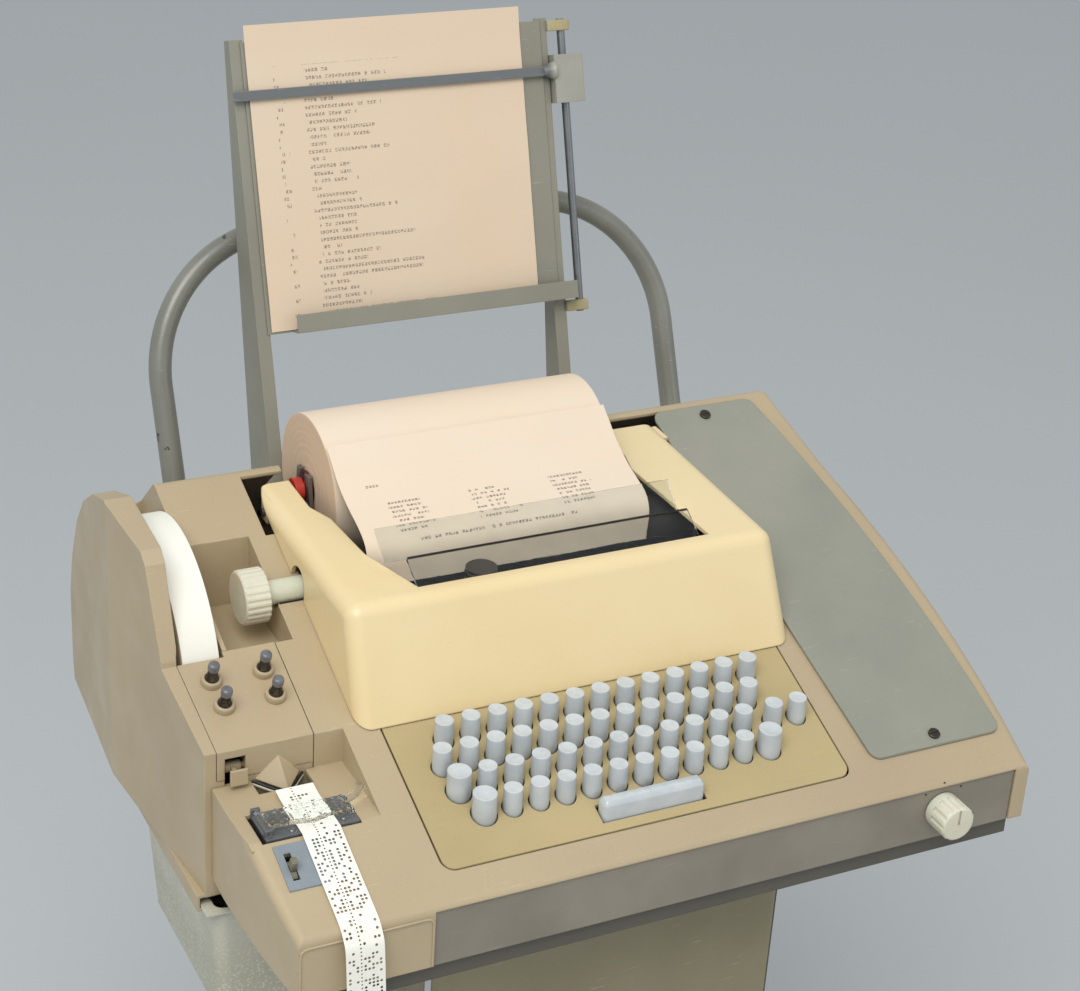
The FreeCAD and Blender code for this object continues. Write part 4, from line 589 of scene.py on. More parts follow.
def build_materials():
    """Builds every material once."""
    for maker in GROUPS:
        maker()
    c = colours()
    cover, hood, keys = tuple(c.cover), tuple(c.hood), tuple(c.keys)
    made = MATERIALS
    # In each finish, the edge colour lightens edges as wear and painted highlight; the corner colour and its
    # amount set painted shade in inner corners
    made["cover"] = surface("cover_paint", cover, tint="AE9C80", drift=(7.0, 0.8), rough=0.42, vary=0.1,
                            relief=(1500.0, 0.10), edge="DCCDAA", edge_amount=0.7, corner_shade_amount=0.25,
                            scuff=0.35, coat=0.1)
    made["fascia"] = surface("fascia_paint", tuple(c.fascia), tint="7D776B", drift=(16.0, 0.8), rough=0.45,
                             relief=(2200.0, 0.12), scuff=0.5, corner_shade_amount=0.5)
    made["white_knob"] = surface("knob_plastic", "DEDBC8", tint="D2CBB2", drift=(60.0, 0.7),
                                 rough=0.35, relief=(700.0, 0.08), edge="F0EEE2", corner="8F876F",
                                 corner_shade_amount=0.7, reach=0.004, coat=0.2)
    made["white_knob"].node_tree.nodes["Principled BSDF"].inputs["Subsurface Weight"].default_value = 0.15
    made["lid"] = surface("lid_paint", tuple(c.lid), tint="8B8D82", drift=(9.0, 0.9), rough=0.5,
                          relief=(2600.0, 0.22), edge="C6BFA2", edge_amount=0.7, scuff=0.3, corner_shade_amount=0.3)
    made["dark_screw"] = surface("dark_screw", "4A4640", rough=0.38, metal=0.8, relief=(1800.0, 0.2),
                                 edge="A09A8C", reach=0.003)
    # Key tops are painted paler than the sides, as light from above
    made["keys"] = surface("key_plastic", keys, tint="B2B9BD", drift=(45.0, 0.8), speck=0.05, rough=0.32,
                           relief=(1400.0, 0.06), edge="E4EAEC", edge_width=0.0006, corner_shade_amount=0.6,
                           reach=0.008, coat=0.3, extra=lit_key_tops)
    made["plate"] = surface("plate_paint", tuple(c.plate), tint="AD9C70", drift=(10.0, 0.8), rough=0.46,
                            relief=(2400.0, 0.14), edge="D8C698", edge_width=0.0007, corner_shade_amount=0.75,
                            reach=0.006, scuff=0.25)
    made["zinc"] = surface("zinc_sheet", "8E8E88", drift=(30.0, 0.8), rough=0.42, metal=0.85,
                           relief=(500.0, 0.2), scuff=0.6)
    made["pan"] = surface("pan_paint", "5E5A50", drift=(12.0, 0.6), rough=0.6, relief=(900.0, 0.2))
    made["stand"] = surface("stand_paint", tuple(c.stand), tint="867E64", drift=(6.0, 0.8), rough=0.5,
                            relief=(1300.0, 0.2), scuff=0.6, edge="B9B193", corner_shade_amount=0.5)
    made["holder"] = surface("holder_paint", tuple(c.holder), tint="838173", drift=(9.0, 0.8), rough=0.45,
                             relief=(1500.0, 0.14), edge="B5B3A4", edge_width=0.0009, scuff=0.4)
    made["guide"] = surface("guide_paint", "A3A298", tint="97958A", drift=(30.0, 0.8), rough=0.42,
                            relief=(1500.0, 0.14), edge="C9C8BE", edge_width=0.0008, scuff=0.4,
                            extra=bar_and_block)
    made["bracket"] = surface("bracket_plastic", "B0A57C", tint="9C916A", drift=(60.0, 0.7),
                              rough=0.45, edge="CFC6A4", edge_width=0.0006)
    made["hoop"] = surface("hoop_paint", tuple(c.hoop), tint="6F7068", drift=(20.0, 0.8), rough=0.33,
                           vary=0.1, relief=(600.0, 0.2), scuff=0.7, coat=0.3, extra=chips)
    made["hood"] = surface("hood_plastic", hood, tint="E2C996", drift=(5.0, 0.85), speck=0.06, rough=0.40,
                           relief=(1200.0, 0.06), edge="F6EACB", edge_amount=0.5, corner="9B8556",
                           corner_shade_amount=0.35, scuff=0.15, coat=0.15)
    made["rod"] = surface("steel_rod", "8F9294", drift=(60.0, 0.6), rough=0.3, metal=0.9,
                          relief=(900.0, 0.1), scuff=0.6)
    made["rubber"] = surface("platen_rubber", "2C2B29", drift=(20.0, 0.6), rough=0.65, relief=(1200.0, 0.15))
    made["black"] = surface("black_plastic", "1E1D1C", rough=0.4, relief=(900.0, 0.1))
    made["red"] = surface("red_plastic", "C8352A", tint="A62A22", drift=(80.0, 0.7), rough=0.32,
                          relief=(900.0, 0.1), coat=0.3)
    made["casting"] = surface("casting", "7B7A75", drift=(25.0, 0.7), rough=0.55, metal=0.6,
                              relief=(320.0, 0.5))
    made["type_metal"] = surface("type_metal", "5C5A58", drift=(90.0, 0.7), rough=0.35, metal=0.9,
                                 relief=(1500.0, 0.2))
    made["motor"] = surface("motor_paint", "3D423F", drift=(15.0, 0.6), rough=0.45, relief=(420.0, 0.3))
    made["belt"] = surface("belt", "262422", drift=(60.0, 0.6), rough=0.8, relief=(1500.0, 0.4))
    made["ribbon"] = surface("ribbon", "1B1A20", drift=(90.0, 0.7), rough=0.85, relief=(2600.0, 0.4))
    made["dark_plate"] = surface("dark_plate", "6E7074", tint="5C5E62", drift=(60.0, 0.7), rough=0.4,
                                 metal=0.35, relief=(1800.0, 0.15), scuff=0.5, edge="A6A8AA")
    made["switch"] = surface("switch_paint", "8A949B", tint="7E888F", drift=(70.0, 0.7), rough=0.42,
                             relief=(1800.0, 0.12), edge="B4BEC6", edge_width=0.0005, scuff=0.3)
    made["lever"] = surface("lever_plastic", "7E7B66", tint="6C6A58", drift=(90.0, 0.7), rough=0.4,
                            relief=(900.0, 0.12), edge="A8A58E", edge_width=0.0006)
    made["bin"] = surface("bin_plastic", "DAD8CA", tint="C4C2B2", drift=(14.0, 0.9), rough=0.45,
                          relief=(500.0, 0.3), scuff=0.7, edge="D9D8CC", extra=grains)
    made["cap"] = surface("cap_plastic", "6E7074", tint="56585C", drift=(160.0, 0.8), rough=0.28,
                          relief=(900.0, 0.2), edge="9EA0A2", edge_width=0.0006, coat=0.3)
    made["nose_strip"] = surface("nose_strip", "DCD8C6", drift=(90.0, 0.5), rough=0.4, edge_width=0.0005)
    made["clear"] = clear_surface("clear_plastic", linear("E9EDEC"), rough=0.05, wave=0.10)
    made["lid_clear"] = clear_surface("lid_clear_plastic", linear("EEF1F0"), rough=0.10, wave=0.9)
    made["plunger"] = clear_surface("plunger_plastic", linear("F2F1EA"), rough=0.3, wave=0.5)
    page = tuple(c.roll)
    made["roll"] = paper_surface("paper_roll", page, centre=TO_SCENE @ Vector((0.0, ROLL_Y, ROLL_Z)))
    column = {"Shortest": 22.0, "Longest": 34.0, "Top": 50.0, "Bottom": 80.0, "Filled": 0.72, "Stagger": 1.0}
    made["page"] = paper_surface("page_paper", page, blocks=(
        {**column, "Left": 26.0}, {**column, "Left": 88.0}, {**column, "Left": 150.0},
        {"Left": 18.0, "Shortest": 9.0, "Longest": 12.0, "Top": 33.5, "Bottom": 38.5, "Filled": 0.9},
        {"Left": 40.0, "Shortest": 120.0, "Longest": 126.0, "Top": 84.0, "Bottom": 89.0, "Filled": 0.85}))
    made["copy"] = paper_surface("copy_paper", linear("DCC9B2"), ink=0.6, blocks=(
        {"Left": 41.0, "Shortest": 12.0, "Longest": 96.0, "Top": 30.0, "Bottom": 222.0, "Stagger": 1.6,
         "Row pitch": 5.3, "Filled": 0.86},
        {"Left": 19.0, "Shortest": 2.0, "Longest": 8.0, "Top": 30.0, "Bottom": 222.0, "Row pitch": 5.3,
         "Filled": 0.5}))
    made["tape"] = paper_surface("tape_paper", tuple(c.tape),
                                 centre=TO_SCENE @ Vector((0.0, TAPE_ROLL_Y, TAPE_ROLL_Z)))


FRAME_FINISH = {
    "cover": "main_cover punch_housing punch_lid punch_lever", "fascia": "front_fascia",
    "white_knob": "mode_knob platen_knob", "lid": "control_lid", "dark_screw": "cover_screws",
    "plate": "keyboard_plate", "zinc": "key_guide left_frame right_frame roll_cradle control_chassis",
    "pan": "base_pan", "stand": "pedestal stand_feet", "hood": "printer_hood", "clear": "hood_window",
    "rod": "cross_rods platen_shaft print_hammer motor_pulley main_shaft reader_sprocket",
    "rubber": "platen_roller", "red": "roll_spindle", "casting": "print_carriage punch_block",
    "type_metal": "type_wheel", "black": "left_ribbon_spool right_ribbon_spool", "motor": "drive_motor",
    "dark_plate": "reader_plate", "switch": "switch_plate", "lever": "reader_lever", "bin": "chad_bin",
    "holder": "left_upright right_upright copy_tray", "guide": "line_guide", "hoop": "rear_hoop",
}

# Keys: the first column's place and radius of each row, as in the part
KEY_PITCH, KEY_X0, KEY_Y0, KEY_TOP = 19.05, -136.5, -123.0, 743.0
SMALL, WIDE = 6.25, 8.0
ROW_KEYS = (
    [(0.5 + i, SMALL) for i in range(13)],
    [(0.0 + i, SMALL) for i in range(13)],
    [(0.2, WIDE)] + [(1.25 + i, SMALL) for i in range(11)] + [(12.5, SMALL), (13.5, SMALL)],
    [(0.7, WIDE)] + [(1.75 + i, SMALL) for i in range(10)] + [(11.8, WIDE)],
)
STEM_FOOT, STEM_RADIUS, CAP_HEIGHT = 673.5, 2.0, 22.0
COPY_TOP, COPY_LENGTH, COPY_X0, COPY_X1 = 107.5, 219.0, -142.3, 73.7


def key_cap(bm, x, y, top, radius, dish):
    """One tall round key with a hollowed top that slopes to the front, on its stem."""
    def hollow(px, py):
        return top + dish - 1.4 - math.sqrt(dish * dish - px * px - (py + 2.0) ** 2)
    angles = [2 * math.pi * i / 32 for i in range(32)]
    rings = [[(x + STEM_RADIUS * math.cos(a), y + STEM_RADIUS * math.sin(a), z) for a in angles]
             for z in (STEM_FOOT, top - CAP_HEIGHT)]
    for z, grow in ((top - CAP_HEIGHT, 0.1), (top - 21.6, 0.35), (top - 12.0, 0.2), (top - 2.6, 0.05)):
        wall = radius + grow
        rings.append([(x + wall * math.cos(a), y + wall * math.sin(a), z) for a in angles])
    for share, drop in ((1.0, 0.62), (0.99, 0.3), (0.96, 0.1), (0.91, 0.0), (0.8, 0.0), (0.6, 0.0),
                        (0.3, 0.0)):
        ring = []
        for a in angles:
            px, py = radius * share * math.cos(a), radius * share * math.sin(a)
            ring.append((x + px, y + py, hollow(px, py) - drop))
        rings.append(ring)
    rings.append([(x, y, hollow(0, 0))])
    loft(bm, rings)


def wound_roll(bm, origin, width, radius, bore, seed, rings=46, play=0.18, steps=120):
    """A wound roll whose layers stand a little in and out at both ends."""
    draw = random.Random(seed)
    profile = []
    for side in (0, 1):
        face = []
        for i in range(rings + 1):
            r = bore + (radius - 0.3 - bore) * i / rings
            offset = draw.uniform(0.0, play)
            face.append((width - offset if side else offset, r))
        profile += face if not side else face[::-1]
        if not side:
            profile += [(0.25, radius), (width * 0.5, radius), (width - 0.25, radius)]
    turn(bm, origin, (1, 0, 0), profile, steps=steps, closed=True)


def strip(bm, line, x0, x1, columns, thickness, ripple=0.0, seed=0):
    """A thin sheet across X that follows (y, z) points, with its flat place stored on each corner."""
    layer = bm.verts.layers.float_vector.new("sheet_mm")
    rows = []
    length = 0.0
    for i, (y, z) in enumerate(line):
        before, after = line[max(i - 1, 0)], line[min(i + 1, len(line) - 1)]
        along = Vector((0, after[0] - before[0], after[1] - before[1])).normalized()
        out = along.cross(Vector((1, 0, 0)))
        if i:
            length += math.hypot(y - line[i - 1][0], z - line[i - 1][1])
        row = []
        for j in range(columns + 1):
            x = x0 + (x1 - x0) * j / columns
            sway = ripple * noise.noise(Vector((x * 0.018, length * 0.03, seed)))
            pair = []
            for side in (0.5, -0.5):
                point = Vector((x, y, z)) + out * (sway + side * thickness)
                vert = bm.verts.new(point)
                vert[layer] = Vector((x - x0, length, 0))
                pair.append(vert)
            row.append(pair)
        rows.append(row)
    for side in (0, 1):
        for a, b in zip(rows, rows[1:]):
            for j in range(columns):
                bm.faces.new((a[j][side], a[j + 1][side], b[j + 1][side], b[j][side]))
    for a, b in zip(rows, rows[1:]):
        for j in (0, columns):
            bm.faces.new((a[j][0], b[j][0], b[j][1], a[j][1]))
    for row in (rows[0], rows[-1]):
        for j in range(columns):
            bm.faces.new((row[j][0], row[j + 1][0], row[j + 1][1], row[j][1]))


class TELEPRINTER_OT_finishes(bpy.types.Operator):
    """Gives every carried part of the frame its finish"""
    bl_idname = "teleprinter.finishes"
    bl_label = "Frame finishes"

    def execute(self, context):
        build_materials()
        for finish, names in FRAME_FINISH.items():
            for name in names.split():
                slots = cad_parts[name].data.materials
                slots.clear()
                slots.append(MATERIALS[finish])
        return {"FINISHED"}


class TELEPRINTER_OT_keyboard(bpy.types.Operator):
    """Builds the four rows of keys and the space bar"""
    bl_idname = "teleprinter.keyboard"
    bl_label = "Keyboard"

    def execute(self, context):
        dish = sizes().key_dish
        for row, keys in enumerate(ROW_KEYS):
            bm = bmesh.new()
            y = KEY_Y0 - KEY_PITCH * row
            top = KEY_TOP - math.tan(DECK_SLOPE) * KEY_PITCH * row
            for column, radius in keys:
                key_cap(bm, KEY_X0 + KEY_PITCH * column, y, top, radius, dish)
            name = "key_row_%d" % (row + 1)
            finish_piece("keys_row_%d" % (row + 1), bm, name, MATERIALS["keys"], [name])
        bm = bmesh.new()
        x0, x1, y0, y1, top = -48.5, 26.5, -204.0, -192.5, 709.0
        rings = []
        for drop, inset in ((16.0, 0.3), (15.6, 0.0), (4.0, 0.0), (2.9, 0.25), (0.9, 2.2), (0.3, 2.75),
                            (0.0, 3.3)):
            outline = rounded_outline(x0 + inset, x1 - inset, y0 + inset, y1 - inset, max(3.6 - inset, 0.4))
            rings.append([(x, y, top - drop) for x, y in outline])
        loft(bm, rings)
        for x in (x0 + 12, x1 - 12):
            turn(bm, (x, (y0 + y1) / 2, STEM_FOOT), (0, 0, 1),
                 [(0, 0), (0, STEM_RADIUS), (22, STEM_RADIUS), (22, 0)], steps=20)
        finish_piece("space_bar_block", bm, "space_bar", MATERIALS["keys"], ["space_bar"])
        return {"FINISHED"}


class TELEPRINTER_OT_paper_roll(bpy.types.Operator):
    """Builds the wound roll of page paper"""
    bl_idname = "teleprinter.paper_roll"
    bl_label = "Paper roll"

    def execute(self, context):
        bm = bmesh.new()
        wound_roll(bm, (PAPER_X0, ROLL_Y, ROLL_Z), PAPER_WIDTH, ROLL_RADIUS, ROLL_BORE, seed=4)
        finish_piece("page_roll", bm, "paper_supply", MATERIALS["roll"], ["paper_roll"])
        return {"FINISHED"}


class TELEPRINTER_OT_printed_page(bpy.types.Operator):
    """Builds the printed page that rises from the platen and lies back over the roll"""
    bl_idname = "teleprinter.printed_page"
    bl_label = "Printed page"

    def execute(self, context):
        line, _ = smooth_line([(-9.0, 770, 0), (-9.2, 788, 0), (-9.8, 802, 0), (-6.0, 812, 0), (4.0, 818.7, 0),
                               (26, 826.4, 0), (44, 835.2, 0), (56, 844.6, 0), (68, 853.6, 0)], 60)
        points = [(p.x, p.y) for p in line][::-1]
        bm = bmesh.new()
        strip(bm, points, PAPER_X0, PAPER_X0 + PAPER_WIDTH, 36, sizes().paper, ripple=0.9, seed=3)
        finish_piece("page_sheet", bm, "cabinet", MATERIALS["page"], ["printed_page"])
        return {"FINISHED"}


class TELEPRINTER_OT_copy_sheet(bpy.types.Operator):
    """Builds the sheet of copy that stands in the holder's tray"""
    bl_idname = "teleprinter.copy_sheet"
    bl_label = "Sheet of copy"

    def execute(self, context):
        line = []
        for i in range(49):
            share = i / 48
            s = COPY_TOP - COPY_LENGTH * share
            line.append((-1.95 - 0.7 * math.sin(math.pi * share) - 1.4 * max(0.0, 1 - share * 9), s))
        bm = bmesh.new()
        strip(bm, line, COPY_X0, COPY_X1, 40, sizes().paper, ripple=0.5, seed=8)
        bm.transform(ON_HOLDER)
        finish_piece("copy_paper_sheet", bm, "cabinet", MATERIALS["copy"], ["copy_sheet"])
        return {"FINISHED"}


class TELEPRINTER_OT_ribbon(bpy.types.Operator):
    """Builds the ink ribbon and what is wound on its two spools"""
    bl_idname = "teleprinter.ribbon"
    bl_label = "Ink ribbon"

    def execute(self, context):
        path = [(-145.45, -64)]
        path += [(-145.45 + 1.8 * (1 - math.cos(a)), -13.85 + 1.8 * math.sin(a))
                 for a in [math.radians(15 * i) for i in range(7)]]
        path += [(x, -12.05) for x in range(-135, 110, 9)]
        path += [(116.65 + 1.8 * math.sin(a), -13.85 + 1.8 * math.cos(a))
                 for a in [math.radians(15 * i) for i in range(7)]] + [(118.45, -64)]
        bm = bmesh.new()
        rings = []
        for i, (x, y) in enumerate(path):
            before, after = path[max(i - 1, 0)], path[min(i + 1, len(path) - 1)]
            run = Vector((after[0] - before[0], after[1] - before[1], 0)).normalized()
            side = Vector((-run.y, run.x, 0)) * 0.11
            dip = 0.25 * math.sin(i * 0.7)
            rings.append([Vector((x, y, 772.3 + dip)) + side, Vector((x, y, 772.3 + dip)) - side,
                          Vector((x, y, 782.7 + dip)) - side, Vector((x, y, 782.7 + dip)) + side])
        loft(bm, rings)
        finish_piece("ribbon_band", bm, "cabinet", MATERIALS["ribbon"], ["ink_ribbon"])
        for body, x, radius in (("left_spool", -133.0, 12.4), ("right_spool", 109.0, 9.4)):
            bm = bmesh.new()
            face = [(1.2 + 0.12 * (i % 3), 3.0 + (radius - 3.0) * i / 9) for i in range(10)]
            other = [(12.8 - 0.12 * (i % 3), r) for i, (_, r) in enumerate(face)]
            turn(bm, (x, -64.0, 770.5), (0, 0, 1), face + other[::-1], steps=40, closed=True)
            finish_piece("wound_ribbon_" + body, bm, body, MATERIALS["ribbon"])
        return {"FINISHED"}


class TELEPRINTER_OT_belt(bpy.types.Operator):
    """Builds the toothed belt from the motor to the main shaft"""
    bl_idname = "teleprinter.belt"
    bl_label = "Drive belt"

    def execute(self, context):
        shaft, motor, large, small = Vector((25, 690)), Vector((95, 712)), 33.0, 11.0
        run = motor - shaft
        aim = math.atan2(run.y, run.x)
        spread = math.acos((large - small) / run.length)
        path = []
        for centre, radius, start, stop, count in ((shaft, large, spread, 2 * math.pi - spread, 60),
                                                   (motor, small, -spread, spread, 16)):
            for i in range(count + 1):
                a = aim + start + (stop - start) * i / count
                path.append((centre, radius, Vector((math.cos(a), math.sin(a)))))
        spots = []
        for i, (centre, radius, ray) in enumerate(path):
            spots.append((centre + ray * (radius + 0.45), ray))
            following = path[(i + 1) % len(path)]
            if following[0] != centre:
                start = centre + ray * (radius + 0.45)
                end = following[0] + following[2] * (following[1] + 0.45)
                for k in range(1, 24):
                    spots.append((start.lerp(end, k / 24), ray))
        bm = bmesh.new()
        rings = []
        for i, (point, ray) in enumerate(spots):
            tooth = 0.5 if i % 2 else 0.0
            ring = []
            for x, out in ((154.2, 0.2 + tooth), (161.8, 0.2 + tooth), (162.0, 0.9), (161.7, 1.7),
                           (154.3, 1.7), (154.0, 0.9)):
                spot = point + ray * out
                ring.append((x, spot.x, spot.y))
            rings.append(ring)
        loft(bm, rings, closed=True)
        finish_piece("belt_loop", bm, "cabinet", MATERIALS["belt"], ["drive_belt"], sharp=25)
        return {"FINISHED"}


TAPE_LINE = [(-120, 713.8), (-128, 712.3), (-136, 711.9), (-166, 711.9), (-171, deck_z(-171) + 2.6),
             (-200, deck_z(-200) + 1.9), (-226, deck_z(-226) + 1.6), (-234, deck_z(-234) + 0.6),
             (-239, deck_z(-239) - 2.6), (-242, 674), (-244, 660), (-247, 630), (-251, 600), (-257, 570),
             (-263, 550)]
FEED_FROM_EDGE = 10.0


class TELEPRINTER_OT_punched_tape(bpy.types.Operator):
    """Builds the tape with real code and feed holes, over the reader and down the front"""
    bl_idname = "teleprinter.punched_tape"
    bl_label = "Punched tape"

    def execute(self, context):
        steps = 480
        line, length = smooth_line([(y, z, 0) for y, z in TAPE_LINE], steps)
        spacing = length / (steps - 1)

        def spot(x, v):
            at = min(max(v / spacing, 0), steps - 1.001)
            i = int(at)
            point = line[i].lerp(line[i + 1], at - i)
            hang = max(0.0, v - 130.0)
            return Vector((TAPE_X0 + x + 0.00016 * hang * hang, point.x, point.y - 0.15))

        rows = int(length / TAPE_PITCH)
        half = TAPE_PITCH / 2
        tracks = [FEED_FROM_EDGE + TAPE_PITCH * k for k in range(-3, 6)]
        xs = [0.0] + [tracks[0] - half + half * i for i in range(19)] + [TAPE_WIDTH]
        draw = random.Random(71)
        bm = bmesh.new()
        grid = {}

        def corner(i, j):
            if (i, j) not in grid:
                grid[i, j] = bm.verts.new(spot(xs[i], j * half))
            return grid[i, j]

        word = 0
        for row in range(rows):
            if draw.random() < 0.16:
                word = draw.choice((0, 0, 1, 3))
            codes = [draw.random() < (0.5 if word == 0 else 0.22) for _ in range(9)]
            if row < 3 or row > rows - 3:
                codes = [False] * 9
            for j in (2 * row, 2 * row + 1):
                for i in (0, 19):
                    bm.faces.new((corner(i, j), corner(i + 1, j), corner(i + 1, j + 1), corner(i, j + 1)))
            for track in range(9):
                i, j = 1 + 2 * track, 2 * row
                feed = track == 3
                if not feed and not codes[track]:
                    for di, dj in ((0, 0), (1, 0), (1, 1), (0, 1)):
                        bm.faces.new((corner(i + di, j + dj), corner(i + di + 1, j + dj),
                                      corner(i + di + 1, j + dj + 1), corner(i + di, j + dj + 1)))
                    continue
                radius = (sizes().feed_hole if feed else sizes().data_hole) / 2
                around = ((2, 1), (2, 2), (1, 2), (0, 2), (0, 1), (0, 0), (1, 0), (2, 0))
                outer = [corner(i + a, j + b) for a, b in around]
                hole = []
                for k in range(16):
                    angle = math.pi * k / 8
                    hole.append(bm.verts.new(spot(tracks[track] + radius * math.cos(angle),
                                                  (j + 1) * half + radius * math.sin(angle))))
                for k in range(8):
                    bm.faces.new((outer[k], outer[(k + 1) % 8], hole[(2 * k + 2) % 16], hole[2 * k + 1],
                                  hole[2 * k]))
        bmesh.ops.recalc_face_normals(bm, faces=bm.faces)
        bmesh.ops.solidify(bm, geom=bm.faces[:], thickness=0.16)
        finish_piece("tape_with_holes", bm, "cabinet", MATERIALS["tape"], ["punched_tape"])
        return {"FINISHED"}


class TELEPRINTER_OT_tape_roll(bpy.types.Operator):
    """Builds the supply roll of blank tape"""
    bl_idname = "teleprinter.tape_roll"
    bl_label = "Tape roll"

    def execute(self, context):
        bm = bmesh.new()
        wound_roll(bm, (TAPE_ROLL_X, TAPE_ROLL_Y, TAPE_ROLL_Z), TAPE_WIDTH, TAPE_ROLL_RADIUS, TAPE_ROLL_BORE,
                   seed=9, rings=70, play=0.12, steps=160)
        finish_piece("blank_tape_roll", bm, "tape_supply", MATERIALS["tape"],
                     ["tape_supply_roll"])
        return {"FINISHED"}


BUTTONS = [(-259.2, -46.9), (-257.4, -66.9), (-223.4, -46.2), (-222.4, -66.3)]


class TELEPRINTER_OT_punch_controls(bpy.types.Operator):
    """Builds the punch's plungers with their caps and collars, black rings as painted shadow in the collars'
    bores, and the strip under its nose with a black bar above it as painted shade
    """
    bl_idname = "teleprinter.punch_controls"
    bl_label = "Punch controls"

    def execute(self, context):
        collars, shadows = bmesh.new(), bmesh.new()
        ring = [(0.0, 6.4), (0.2, 6.95), (3.4, 6.9), (4.4, 6.7), (5.1, 6.1), (5.3, 5.5), (5.0, 4.9),
                (4.6, 4.5), (4.5, 5.6)]
        bore = [(4.45, 3.52), (4.62, 3.52), (4.62, 4.85), (4.45, 4.85)]
        plunger = [(-11, 0), (-11, 3.1), (-10.7, 3.4), (-6, 3.4), (-6, 4.8), (-4.6, 4.8), (-4.6, 3.4),
                   (12.6, 3.4), (13.2, 3.0), (13.2, 0)]
        cap = [(13.25, 0), (13.25, 3.2), (13.6, 3.7), (14.2, 3.9), (17.2, 3.9), (18.3, 3.6), (19.0, 2.9),
               (19.3, 1.6), (19.3, 0)]
        upright = ((0, 0, 0), (0, 0, 1))
        for i, (x, y) in enumerate(BUTTONS):
            place = on_deck(x, y)
            turn(collars, *upright, ring, steps=40, closed=True, place=place)
            turn(shadows, *upright, bore, steps=40, closed=True, place=place)
            body = "punch_button_%d" % (i + 1)
            bm = bmesh.new()
            turn(bm, *upright, plunger, steps=32, place=place)
            finish_piece("plunger_%d" % (i + 1), bm, body, MATERIALS["plunger"], [body])
            bm = bmesh.new()
            turn(bm, *upright, cap, steps=32, place=place)
            finish_piece("plunger_cap_%d" % (i + 1), bm, body, MATERIALS["cap"])
        finish_piece("plunger_collars", collars, "cabinet", MATERIALS["cover"])
        # Black rings standing for the shadow in the collars' bores round the plungers: painted shadow
        finish_piece("plunger_bores", shadows, "cabinet", MATERIALS["black"])
        nose = [(-250.0, -99.4, 710.4), (-240.5, -106.6, 707.6), (-230.4, -113.6, 705.2),
                (-223.0, -106.4, 707.0), (-215.6, -99.4, 709.0)]
        # The black bar under the nose stands for the shade in the gap there: painted shade; the pale strip
        # sits below it
        for name, drop, width, height, finish, slot in (
                ("nose_gap", -0.6, 1.4, 1.8, "black", "black_plastic"),
                ("nose_strip", -2.3, 2.0, 1.7, "nose_strip", "button_plastic")):
            bm = bmesh.new()
            sweep(bm, [(x, y, z + drop) for x, y, z in nose], width, height)
            finish_piece(name, bm, "cabinet", MATERIALS[finish])
        return {"FINISHED"}


FEED_X = -231.8


class TELEPRINTER_OT_reader(bpy.types.Operator):
    """Builds the reader's clear lid with its latch, its pins and the switch's shutter"""
    bl_idname = "teleprinter.reader"
    bl_label = "Tape reader"

    def execute(self, context):
        bm = bmesh.new()
        columns, rows = 64, 20
        grid = {}
        for i in range(columns + 1):
            x = -259.0 + 56.0 * i / columns
            near = abs(x - FEED_X)
            front = -158.0 - 3.4 * max(0.0, 1 - near / 13.0)
            for j in range(rows + 1):
                y = front + (-141.0 - front) * j / rows
                z = 715.2 + 0.9 * noise.noise(Vector((x * 0.35, y * 0.45, 2.0)))
                z += 1.2 * (near < 12.5) + 0.5 * math.sin(x * 1.3) * (near > 14)
                z -= 1.5 * (j == 0 or j == rows or i == 0 or i == columns)
                grid[i, j, 1] = bm.verts.new((x, y, min(z, 718.4)))
                under = 713.15 + 0.35 * noise.noise(Vector((x * 0.5, y * 0.4, 7.0)))
                grid[i, j, 0] = bm.verts.new((x, y, under))
        for side in (0, 1):
            for i in range(columns):
                for j in range(rows):
                    around = ((i, j), (i + 1, j), (i + 1, j + 1), (i, j + 1))
                    bm.faces.new([grid[a, b, side] for a, b in around])
        for i in range(columns):
            for j in (0, rows):
                bm.faces.new((grid[i, j, 0], grid[i + 1, j, 0], grid[i + 1, j, 1], grid[i, j, 1]))
        for j in range(rows):
            for i in (0, columns):
                bm.faces.new((grid[i, j, 0], grid[i, j + 1, 0], grid[i, j + 1, 1], grid[i, j, 1]))
        turn(bm, (-261.0, -163.0, 713.2), (0, 1, 0), [(0, 0), (0, 0.95), (2.6, 0.95), (2.6, 1.9), (24.4, 1.9),
                                                      (24.4, 0.95), (27, 0.95), (27, 0)], steps=24)
        arm = [(-207.0, -148.5, 715.6), (-202.0, -147.5, 715.8), (-198.0, -146.0, 717.2),
               (-195.2, -144.4, 719.6), (-192.6, -142.8, 722.4)]
        sweep(bm, arm, 6.4, 2.1, up=(-0.3, 0, 1))
        block(bm, -206.0, -203.0, -158.0, -154.0, 711.2, 714.5, 0.4)
        finish_piece("reader_clear_lid", bm, "reader_lid", MATERIALS["lid_clear"],
                     ["reader_lid"], sharp=50)
        bm = bmesh.new()
        dome = [(-0.2, 0), (-0.2, 1.9), (0.3, 1.9), (0.9, 1.5), (1.25, 0.8), (1.3, 0)]
        for x, y in ((-246.2, -161.6), (-211.6, -161.0), (-205.0, -138.2)):
            turn(bm, (x, y, 711.0), (0, 0, 1), dome, steps=24)
        finish_piece("reader_screws", bm, "cabinet", MATERIALS["rod"])
        bm = bmesh.new()
        place = on_deck(-255.5, -187.0, -11.0)
        rings = []
        for i in range(-8, 9):
            angle = math.radians(4.4 * i)
            ring = []
            for x, r in ((-2.05, 10.5), (2.05, 10.5), (2.05, 11.4), (-2.05, 11.4)):
                ring.append((x, r * math.sin(angle), r * math.cos(angle)))
            rings.append(ring)
        loft(bm, rings, place=place)
        block(bm, -2.0, 2.0, -2.6, 2.6, 11.0, 20.4, 0.8, place=place)
        finish_piece("switch_handle", bm, "reader_lever", MATERIALS["lever"])
        return {"FINISHED"}


